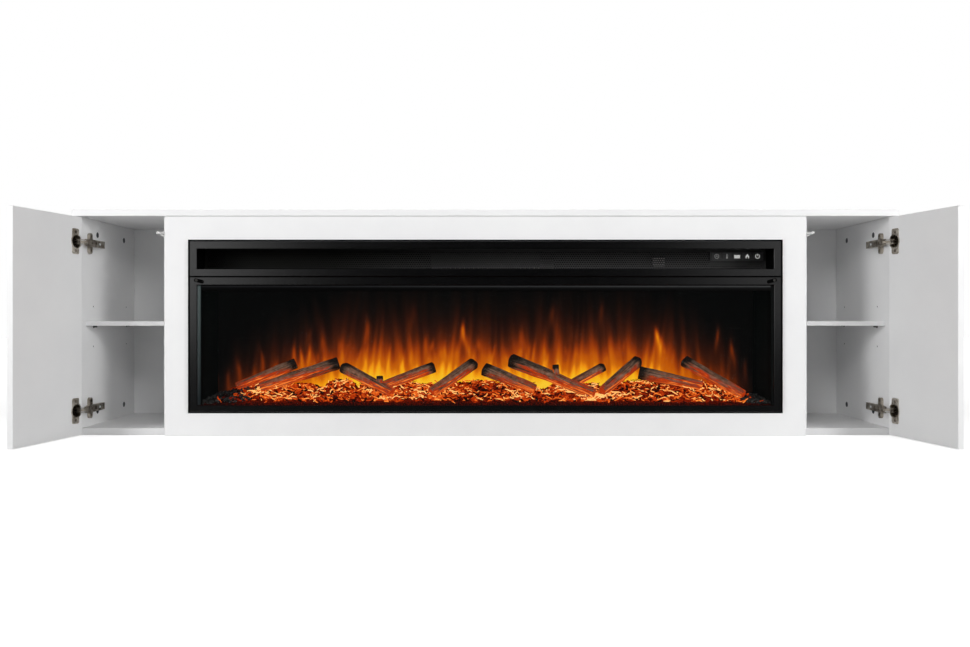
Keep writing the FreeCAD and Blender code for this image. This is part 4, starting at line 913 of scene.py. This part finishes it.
def flame_level(across, height):
    """Height in the fire's own scale over a grid of places, lowered where a tongue lifts the fire."""
    chance = random.Random(77)
    tongues = [tongue + (TONGUE_LENGTH,) for tongue in TONGUES]
    for index in range(SMALL_TONGUES):
        x = -0.70 + 1.42 * (index + chance.random()) / SMALL_TONGUES
        tip = 0.205 + 0.8 * float(fire_reach(x)) + chance.uniform(-0.035, 0.045)
        tongues.append((x, tip, chance.uniform(0.0035, 0.0085), chance.uniform(-0.18, 0.18),
                        chance.uniform(0.40, 0.95), chance.uniform(0.04, 0.08)))
    rise = height - FIRE_FOOT
    sway = across + 0.10 * (rise - 0.05) * np.sin(across * 23.0)
    streak = 0.014 * np.sin(sway * 95 + 2.2 * np.sin(sway * 31 + rise * 9))
    streak += 0.010 * np.sin(sway * 233 + 1.7 * np.sin(sway * 57 - rise * 14))
    streak += 0.005 * np.sin(sway * 520 + 2.0 * np.sin(sway * 141 + rise * 20))
    plain = height - fire_reach(across) - streak * np.clip(rise / 0.05, 0.25, 1) + 0.004
    level = plain.copy()
    for x, tip, wide, lean, hot, tall in tongues:
        phase = chance.uniform(0, 6.28)
        lift = max(tip - (0.300 - 0.125 * hot) - float(fire_reach(x)), 0.006)
        hottest = 0.255 - 0.12 * hot
        middle = x + lean * (height - tip + 0.05) + 0.35 * wide * np.sin(rise * 42 + phase)
        share = np.clip((height - tip + tall) / (0.7 * tall), 0, 1)
        spread = wide * (0.55 + 0.45 * np.clip((tip - height) / tall, 0, 1))
        body = np.exp(-np.abs((across - middle) / spread) ** 1.6)
        below = np.clip((tip + 0.012 - height) / 0.040, 0, 1)
        lifted = plain - lift * body * below * share * share * (3 - 2 * share)
        level = np.minimum(level, np.maximum(lifted, np.minimum(plain, hottest)))
    soft = level.copy()
    soft[1:-1] = 0.25 * level[:-2] + 0.5 * level[1:-1] + 0.25 * level[2:]
    soft[:, 1:-1] = 0.2 * soft[:, :-2] + 0.6 * soft[:, 1:-1] + 0.2 * soft[:, 2:]
    return soft


def flame_colour(level):
    """Light given off at a level of the fire, from yellow at the hearth to dark red and black."""
    stops = (0.120, 0.140, 0.155, 0.168, 0.185, 0.201, 0.218, 0.240, 0.263, 0.285, 0.307, 0.330, 0.352, 0.39)
    red = (255, 252, 238, 205, 190, 162, 136, 92, 61, 44, 30, 19, 12, 4)
    green = (205, 180, 140, 104, 86, 64, 49, 33, 23, 16, 11, 8, 6, 3)
    blue = (50, 25, 12, 6, 4, 6, 6, 7, 7, 7, 6, 5, 5, 3)
    shown = np.stack([np.interp(level, stops, channel) for channel in (red, green, blue)], axis=-1) / 255
    return np.where(shown < 0.04045, shown / 12.92, ((shown + 0.055) / 1.055) ** 2.4)


def make_flames():
    """The sheet that carries the flame picture, from behind the embers to the top of the screen."""
    low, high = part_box("flame_screen")
    margin, standoff, bottom, top = 0.002, 0.0006, 0.095, 0.400
    columns, rows = 560, 118
    xs = np.linspace(low.x + margin, high.x - margin, columns)
    zs = np.linspace(bottom, top, rows)
    points = [(float(x), low.y - standoff, float(z)) for z in zs for x in xs]
    mesh = mesh_of("flame_sheet", points, grid_faces(columns, rows))
    colour = flame_colour(flame_level(*np.meshgrid(xs, zs))).reshape(-1, 3)
    rgba = np.concatenate([colour, np.ones((len(colour), 1))], axis=1).astype(np.float32)
    layer = mesh.attributes.new("fire_paint", "FLOAT_COLOR", "POINT")
    layer.data.foreach_set("color", rgba.ravel())
    piece_from("flame_sheet", mesh, FLAME, "carcass", True)


make_flames()


# Thin plates: signs on the keys, painted light on the glass edges, painted shade in slots and at the frame,
# the receiver

def plate_from(name, loops, thickness):
    """A thin plate in the XZ plane from closed outlines, the first outside and the rest holes."""
    curve = bpy.data.curves.new(name, "CURVE")
    curve.dimensions = "2D"
    curve.fill_mode = "BOTH"
    curve.extrude = thickness / 2
    for loop in loops:
        spline = curve.splines.new("POLY")
        spline.points.add(len(loop) - 1)
        for point, (x, z) in zip(spline.points, loop):
            point.co = (x, z, 0, 1)
        spline.use_cyclic_u = True
    mesh = settled(shown_object(name, curve), name)
    mesh.transform(Matrix.Rotation(math.radians(90), 4, "X"))
    return mesh


def plate_piece(name, loop, thickness, y, finish):
    """A thin plate on the cabinet as a piece of its own."""
    mesh = plate_from(name, [loop], thickness)
    mesh.transform(Matrix.Translation((0, y, 0)))
    piece_from(name, mesh, finish, "carcass")


def round_loop(x, z, radius, steps=28, start=0.0, end=360.0):
    return [(x + radius * math.cos(math.radians(start + (end - start) * i / steps)),
             z + radius * math.sin(math.radians(start + (end - start) * i / steps)))
            for i in range(steps if end - start >= 360 else steps + 1)]


def arc_band(x, z, outer, inner, start, end, steps=28):
    return round_loop(x, z, outer, steps, start, end) + round_loop(x, z, inner, steps, start, end)[::-1]


def bar_loop(x0, z0, x1, z1):
    return [(x0, z0), (x1, z0), (x1, z1), (x0, z1)]


def pictograms():
    """Outlines of the five generic signs, in millimetres about each key's middle."""
    timer = [[round_loop(0, 0, 6.2), round_loop(0, 0, 4.9)], [bar_loop(-0.6, -0.6, 0.6, 4.2)],
             [bar_loop(-3.2, -0.6, 3.2, 0.6)]]
    stem = [(-1.5, 5.0), (-1.5, -2.0)] + round_loop(0, -4.0, 2.5, 20, 128, 412) + [(1.5, -2.0), (1.5, 5.0)]
    temperature = [[stem + round_loop(0, 5.0, 1.5, 10, 0, 180)], [bar_loop(2.6, 2.6, 4.0, 3.4)],
                   [bar_loop(2.6, 0.2, 4.0, 1.0)]]
    wave_top = [(7.4 - 0.6 * i, 3.0 + 1.1 * math.cos(i * 1.0)) for i in range(25)]
    heat = [[[(-7.4, -4.6), (7.4, -4.6), (8.0, 4.6)] + wave_top + [(-8.0, 4.6)]],
            [bar_loop(-8.6, -5.8, 8.6, -5.1)]]
    flame = [[[(0.3, 6.6), (1.8, 4.2), (3.2, 2.4), (4.6, 0.2), (5.0, -2.4), (4.4, -4.6), (3.0, -6.0),
               (1.7, -6.2), (2.3, -4.2), (1.6, -2.0), (0.2, -0.4), (-1.4, -2.0), (-2.2, -4.2), (-1.7, -6.2),
               (-3.0, -6.0), (-4.4, -4.6), (-5.0, -2.2), (-4.2, 0.6), (-2.6, 2.8), (-1.0, 4.4)]]]
    power = [[arc_band(0, -0.2, 6.2, 4.4, 118, 422, 40)], [bar_loop(-0.8, 0.4, 0.8, 6.4)]]
    return {"timer_key": (timer, DIM_INK), "temperature_key": (temperature, DIM_INK), "heat_key": (heat, INK),
            "flame_key": (flame, INK), "power_key": (power, INK)}


def make_pictograms():
    """A printed sign on each key, a hair in front of it."""
    thickness, standoff = 0.0002, 0.00012
    for key, (sign, ink) in pictograms().items():
        low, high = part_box(key)
        middle = (low + high) / 2
        plates = []
        for index, loops in enumerate(sign):
            scaled = [[(x / 1000, z / 1000) for x, z in loop] for loop in loops]
            plates.append(plate_from(f"{key}_sign_{index}", scaled, thickness))
        mesh = joined(plates, key + "_sign")
        mesh.transform(Matrix.Translation((middle.x, low.y - standoff, middle.z)))
        piece_from(key + "_sign", mesh, ink, key + "_cap")


def make_glass_edge_highlights():
    """Painted highlights on the left and top edges of the glass in the window, and painted shade on its right
    edge.
    """
    thickness, place = 0.0006, FRONT - 0.0019
    edges = (
        ("left_glass_edge", bar_loop(-WINDOW_HALF, WINDOW_BOTTOM, LEFT_EDGE, WINDOW_TOP), LEFT_GLASS_HIGHLIGHT),
        ("right_glass_edge", bar_loop(RIGHT_EDGE, WINDOW_BOTTOM, WINDOW_HALF, WINDOW_TOP), RIGHT_GLASS_SHADE),
        ("top_glass_edge", bar_loop(LEFT_EDGE, TOP_EDGE, RIGHT_EDGE, WINDOW_TOP), TOP_GLASS_HIGHLIGHT),
    )
    for name, loop, finish in edges:
        plate_piece(name, loop, thickness, place, finish)


def make_slot_painted_shade():
    """Painted shade: dark plates on the floors of the slanted slots in the glass frame."""
    outer, inner, radius = (0.7389, 0.3991), (0.7229, 0.3949), 0.0045
    thickness, place = 0.0003, FRONT - 0.0034
    tilt = math.degrees(math.atan2(outer[1] - inner[1], outer[0] - inner[0]))
    for label, side in SIDES:
        loop = round_loop(*outer, radius, 14, tilt - 90, tilt + 90)
        loop += round_loop(*inner, radius, 14, tilt + 90, tilt + 270)
        loop = [(side * x, z) for x, z in loop][::side]
        plate_piece(label + "_slot_lining", loop, thickness, place, CHAMBER_BLACK)


def make_frame_painted_shadows():
    """Painted shadow: dark strips along the outer sides of the frame."""
    low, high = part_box("glass_frame")
    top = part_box("upper_frame")[1].z
    wide, thickness, place = 0.0022, 0.0004, low.y - 0.0002
    for label, start, end in (("left", low.x, low.x + wide), ("right", high.x - wide, high.x)):
        loop = bar_loop(start, low.z, end, top)
        plate_piece(label + "_frame_seal", loop, thickness, place, CHAMBER_BLACK)


def make_receiver():
    """The receiver's window behind the grille, with rounded corners."""
    corner, thickness, place = 0.004, 0.0012, FRONT + 0.0880
    left, bottom = (value + corner for value in RECEIVER_LOW)
    right, top = (value - corner for value in RECEIVER_HIGH)
    loop = []
    for x, z, start in ((right, top, 0), (left, top, 90), (left, bottom, 180), (right, bottom, 270)):
        loop += round_loop(x, z, corner, 6, start, start + 90)
    plate_piece("receiver_window", loop, thickness, place, RECEIVER)


make_pictograms()
make_glass_edge_highlights()
make_slot_painted_shade()
make_frame_painted_shadows()
make_receiver()


# Screws on the hinges and the back panels, and painted shade in the bottoms of holes

HINGE_LEVELS = (0.066, 0.498)
DOOR_OPEN = math.radians(101.5)
POLE = Vector((-1.05126, FRONT + 0.00502, 0))
POLE_EDGE, POLE_DEPTH = 0.00874, 0.01098
CUP_EDGE, CUP_FLOOR = 0.0215, 0.0115
CUP_SCREW_EDGE, CUP_SCREW_STEP, CUP_FLANGE = 0.025, 0.024, 0.0016
PLATE_FACE, PLATE_SCREW_SETBACK, PLATE_SCREW_STEP = SIDE_INNER - 0.0075, 0.059, 0.019
ARM_FACE, ARM_SCREW_SETBACKS = SIDE_INNER - 0.0185, (0.040, 0.062)
BACK, BACK_SCREW_COLUMNS, BACK_SCREW_LEVELS = 0.175, (0.824, 1.052), (0.012, 0.150, 0.290, 0.430, 0.570)
PIN_RADIUS, PIN_SETBACKS, SPARE_HOLE_STEP, SPARE_HOLE_DEPTH = 0.0025, (0.087, 0.291), 0.053, 0.0012
FASTENERS = fastener_tree()


def screw_mesh(name, radius, height):
    """A low-domed screw head with a cross recess, its top towards +Z."""
    sides = 24
    points = []
    for share, rise in ((1.0, 0.0), (0.98, 0.35), (0.82, 0.72), (0.56, 0.93)):
        points += [(x, y, height * rise) for x, y in circle(radius * share, sides)]
    recess = []
    for s in range(sides):
        turn = 2 * math.pi * s / sides
        reach = radius * (0.16 + 0.34 * abs(math.cos(2 * turn)) ** 6)
        recess.append((reach * math.cos(turn), reach * math.sin(turn)))
    points += [(x, y, height * 0.94) for x, y in recess]
    points += [(x * 0.75, y * 0.75, height * 0.25) for x, y in recess]
    return mesh_of(name, points, ring_faces(6, sides) + [tuple(range(5 * sides, 6 * sides))])


def dish_mesh(name, radius, height, sides):
    """A shallow dish that lies in the bottom of a round hole, looking along Z."""
    points = []
    for share, level in ((1.0, 0.0), (1.0, 1.0), (0.86, 0.45)):
        points += [(x, y, height * level) for x, y in circle(radius * share, sides)]
    points.append((0, 0, height * 0.3))
    faces = ring_faces(3, sides)
    faces += [(2 * sides + s, 2 * sides + (s + 1) % sides, 3 * sides) for s in range(sides)]
    faces.append(tuple(range(sides - 1, -1, -1)))
    return mesh_of(name, points, faces)


def set_fasteners(name, shape, places, finish, body, size=1.0):
    """A piece made of one shape at each (place, way it looks, spin)."""
    points = mesh_of(name + "_points", [place for place, normal, spin in places], [])
    turns = []
    for place, normal, spin in places:
        turn = Vector(normal).to_track_quat("Z", "Y").to_matrix() @ Matrix.Rotation(spin, 3, "Z")
        turns.extend(turn.to_euler())
    layer = points.attributes.new("facing", "FLOAT_VECTOR", "POINT")
    layer.data.foreach_set("vector", np.asarray(turns, dtype=np.float32))
    mesh = grow(FASTENERS, points, name, Fastener=shape, Size=size, Finish=finish)
    piece_from(name, mesh, finish, body)


def on_open_door(edge, depth, level, side):
    """A point given from the closed door's edge and inner face, on the open door."""
    across, along = edge - POLE_EDGE, POLE_DEPTH - depth
    c, s = math.cos(DOOR_OPEN), math.sin(DOOR_OPEN)
    x = POLE.x + across * c + along * s
    return Vector((-side * x, POLE.y - across * s + along * c, level))


def door_normal(side):
    """The way the open door's inner face looks."""
    return Vector((-side * math.sin(DOOR_OPEN), math.cos(DOOR_OPEN), 0))


def make_screws():
    """Two screws on each cup, four on each plate and arm, and a row along each edge of the back panels."""
    screw = hidden_source(screw_mesh("cross_screw", radius=0.0038, height=0.0014))
    chance = random.Random(5)

    def spin():
        return chance.uniform(0, 1.5)

    for label, side in SIDES:
        inward = (-side, 0, 0)
        places = []
        for level in HINGE_LEVELS:
            for step in (-CUP_SCREW_STEP, CUP_SCREW_STEP):
                spot = on_open_door(CUP_SCREW_EDGE, -CUP_FLANGE, level + step, side)
                places.append((spot, door_normal(side), spin()))
        set_fasteners(label + "_cup_screws", screw, places, HINGE_SCREW, label + "_door_leaf")
        places = []
        for level in HINGE_LEVELS:
            for step in (-PLATE_SCREW_STEP, PLATE_SCREW_STEP):
                spot = (side * PLATE_FACE, FRONT + PLATE_SCREW_SETBACK, level + step)
                places.append((spot, inward, spin()))
            for setback in ARM_SCREW_SETBACKS:
                places.append(((side * ARM_FACE, FRONT + setback, level), inward, spin()))
        set_fasteners(label + "_plate_screws", screw, places, HINGE_SCREW, "carcass")
    places = []
    for label, side in SIDES:
        for x in BACK_SCREW_COLUMNS:
            for level in BACK_SCREW_LEVELS:
                places.append(((side * x, BACK, level), (0, 1, 0), spin()))
    set_fasteners("back_screws", screw, places, DARK_STEEL, "carcass", 0.9)


def make_hole_painted_shade():
    """Painted shade: dark discs in the bottoms of the hinge cups and of the spare shelf-pin holes."""
    cup_dish = hidden_source(dish_mesh("cup_dish", radius=0.0160, height=0.0002, sides=28))
    hole_dish = hidden_source(dish_mesh("hole_dish", radius=0.0024, height=0.0004, sides=14))
    places = []
    for label, side in SIDES:
        spots = []
        for level in HINGE_LEVELS:
            spots.append((on_open_door(CUP_EDGE, CUP_FLOOR, level, side), door_normal(side), 0.0))
        set_fasteners(label + "_cup_lining", cup_dish, spots, CUP_SHADE, label + "_door_leaf")
        pin_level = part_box(label + "_shelf")[0].z - PIN_RADIUS
        low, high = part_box(label + "_partition")
        partition = low.x + SPARE_HOLE_DEPTH if side < 0 else high.x - SPARE_HOLE_DEPTH
        side_panel = side * (SIDE_INNER + SPARE_HOLE_DEPTH)
        for setback in PIN_SETBACKS:
            for level in (pin_level - SPARE_HOLE_STEP, pin_level + SPARE_HOLE_STEP):
                places.append(((side_panel, FRONT + setback, level), (-side, 0, 0), 0.0))
                places.append(((partition, FRONT + setback, level), (side, 0, 0), 0.0))
    set_fasteners("spare_hole_lining", hole_dish, places, CHAMBER_BLACK, "carcass")


make_screws()
make_hole_painted_shade()


# Camera, floor and light

CAMERA_BACK = 2.146
CAMERA_ASIDE = -0.001
EYE_HEIGHT = 0.3115
SENSOR = 36.0
PHOTO_WIDTH = 970
FOCAL_PIXELS = 838
HORIZON_SHIFT = -9.0
FLOOR_HALF, FLOOR_DROP = 9.0, 0.0005
FLOOR_NEAR_GLOW, FLOOR_FADE = 0.70, (1.3, 2.8)
ROOM_LIGHT = 0.02
LEFT_CARD = 1.25
RIGHT_CARD = 0.65
CARD_START, CARD_FULL = 0.20, 0.36
WHITE = (1, 1, 1, 1)


def make_camera():
    data = bpy.data.cameras.new("photo_camera")
    camera = shown_object("photo_camera", data)
    camera.location = (CAMERA_ASIDE, FRONT - CAMERA_BACK, EYE_HEIGHT)
    camera.rotation_euler = (math.radians(90), 0, 0)
    data.sensor_width = SENSOR
    data.lens = SENSOR * FOCAL_PIXELS / PHOTO_WIDTH
    data.shift_y = HORIZON_SHIFT / PHOTO_WIDTH
    data.clip_start = 0.05
    data.clip_end = 60.0
    bpy.context.scene.camera = camera


def make_floor():
    """A white floor that takes soft shadows near the cabinet and turns plain white further off."""
    shape = bmesh.new()
    bmesh.ops.create_grid(shape, x_segments=1, y_segments=1, size=FLOOR_HALF)
    mesh = mesh_from("studio_floor", shape)
    floor = shown_object("studio_floor", mesh)
    floor.location = (0, 0, -FLOOR_DROP)
    made = bpy.data.materials.new("studio_floor")
    made.use_nodes = True
    tree = made.node_tree
    tree.nodes.clear()
    rays = put(tree, "ShaderNodeLightPath").outputs
    far = put(tree, "ShaderNodeVectorMath", {"operation": "LENGTH"}, {0: place_on_piece(tree)})
    whiter = span(tree, far.outputs["Value"], FLOOR_NEAR_GLOW, 1.0, *FLOOR_FADE)
    level = calc(tree, "MULTIPLY", rays["Is Camera Ray"], whiter)
    matte = put(tree, "ShaderNodeBsdfDiffuse", Color=(0.66, 0.66, 0.66, 1)).outputs["BSDF"]
    light = put(tree, "ShaderNodeEmission", Color=WHITE, Strength=level).outputs["Emission"]
    plain = put(tree, "ShaderNodeAddShader", None, {0: matte, 1: light}).outputs["Shader"]
    dark = put(tree, "ShaderNodeBsdfDiffuse", Color=(0.04, 0.04, 0.04, 1)).outputs["BSDF"]
    mirrored = put(tree, "ShaderNodeMixShader", None, {0: rays["Is Glossy Ray"], 1: plain, 2: dark})
    put(tree, "ShaderNodeOutputMaterial", Surface=mirrored.outputs["Shader"])
    mesh.materials.append(made)


def make_world():
    """White to look at, faint as light, with a lit card each side of the camera for reflections."""
    world = bpy.data.worlds.new("studio")
    bpy.context.scene.world = world
    world.use_nodes = True
    tree = world.node_tree
    tree.nodes.clear()
    where = put(tree, "ShaderNodeTexCoord").outputs["Generated"]
    parts = put(tree, "ShaderNodeSeparateXYZ", Vector=where).outputs
    cards = calc(tree, "ADD", span(tree, parts["X"], 0.0, LEFT_CARD, -CARD_START, -CARD_FULL, True),
                 span(tree, parts["X"], 0.0, RIGHT_CARD, CARD_START, CARD_FULL, True))
    front = calc(tree, "MULTIPLY", cards, span(tree, parts["Z"], 0.05, 1.0, -0.20, 0.12, True))
    before = span(tree, parts["Y"], 0.0, 1.0, 0.0, -0.30, True)
    round_about = put(tree, "ShaderNodeMix", {"data_type": "FLOAT"}, {0: before, 2: 1.0, 3: front}).outputs[0]
    ceiling = span(tree, parts["Z"], 1.0, 0.06, 0.70, 0.92, True)
    mirrored = calc(tree, "MULTIPLY", round_about, ceiling)
    rays = put(tree, "ShaderNodeLightPath").outputs
    seen = calc(tree, "MAXIMUM", rays["Is Camera Ray"], rays["Is Transmission Ray"])
    last = put(tree, "ShaderNodeBackground", Color=WHITE, Strength=ROOM_LIGHT).outputs["Background"]
    for share, strength in ((rays["Is Glossy Ray"], mirrored), (seen, 1.0)):
        background = put(tree, "ShaderNodeBackground", Color=WHITE, Strength=strength).outputs["Background"]
        last = put(tree, "ShaderNodeMixShader", None, {0: share, 1: last, 2: background}).outputs["Shader"]
    put(tree, "ShaderNodeOutputWorld", Surface=last)


def add_panel_light(name, place, target, width, height, power, spread=180):
    """A lamp panel that looks at a target; the spread is in degrees."""
    data = bpy.data.lights.new(name, "AREA")
    data.shape = "RECTANGLE"
    data.size = width
    data.size_y = height
    data.energy = power
    data.spread = math.radians(spread)
    lamp = shown_object(name, data)
    lamp.location = place
    lamp.rotation_euler = (Vector(target) - Vector(place)).to_track_quat("-Z", "Y").to_euler()
    lamp.visible_glossy = False
    lamp.visible_camera = False


make_camera()
make_floor()
make_world()
add_panel_light("front_panel_light", place=(0.0, -2.0, 1.35), target=(0.0, -0.17, 0.3), width=0.8,
                height=0.6, power=11.4)
for label, side in SIDES:
    add_panel_light(label + "_near_light", place=(side * 1.79, -1.2, 0.88), target=(side * 0.6, -0.17, 0.3),
                    width=0.5, height=0.7, power=4.2)
    add_panel_light(label + "_far_light", place=(side * 3.2, -2.87, 1.2), target=(side * 0.3, -0.1, 0.3),
                    width=1.1, height=1.6, power=64)
add_panel_light("rear_panel_light", place=(0.0, 2.4, 0.55), target=(0.0, 0.17, 0.3), width=2.2,
                height=0.6, power=30)
add_panel_light("ceiling_panel_light", place=(0.0, 0.06, 2.6), target=(0.0, 0.06, 0.58), width=2.3,
                height=0.4, power=2.2, spread=20)
bpy.context.scene.view_settings.view_transform = "Standard"
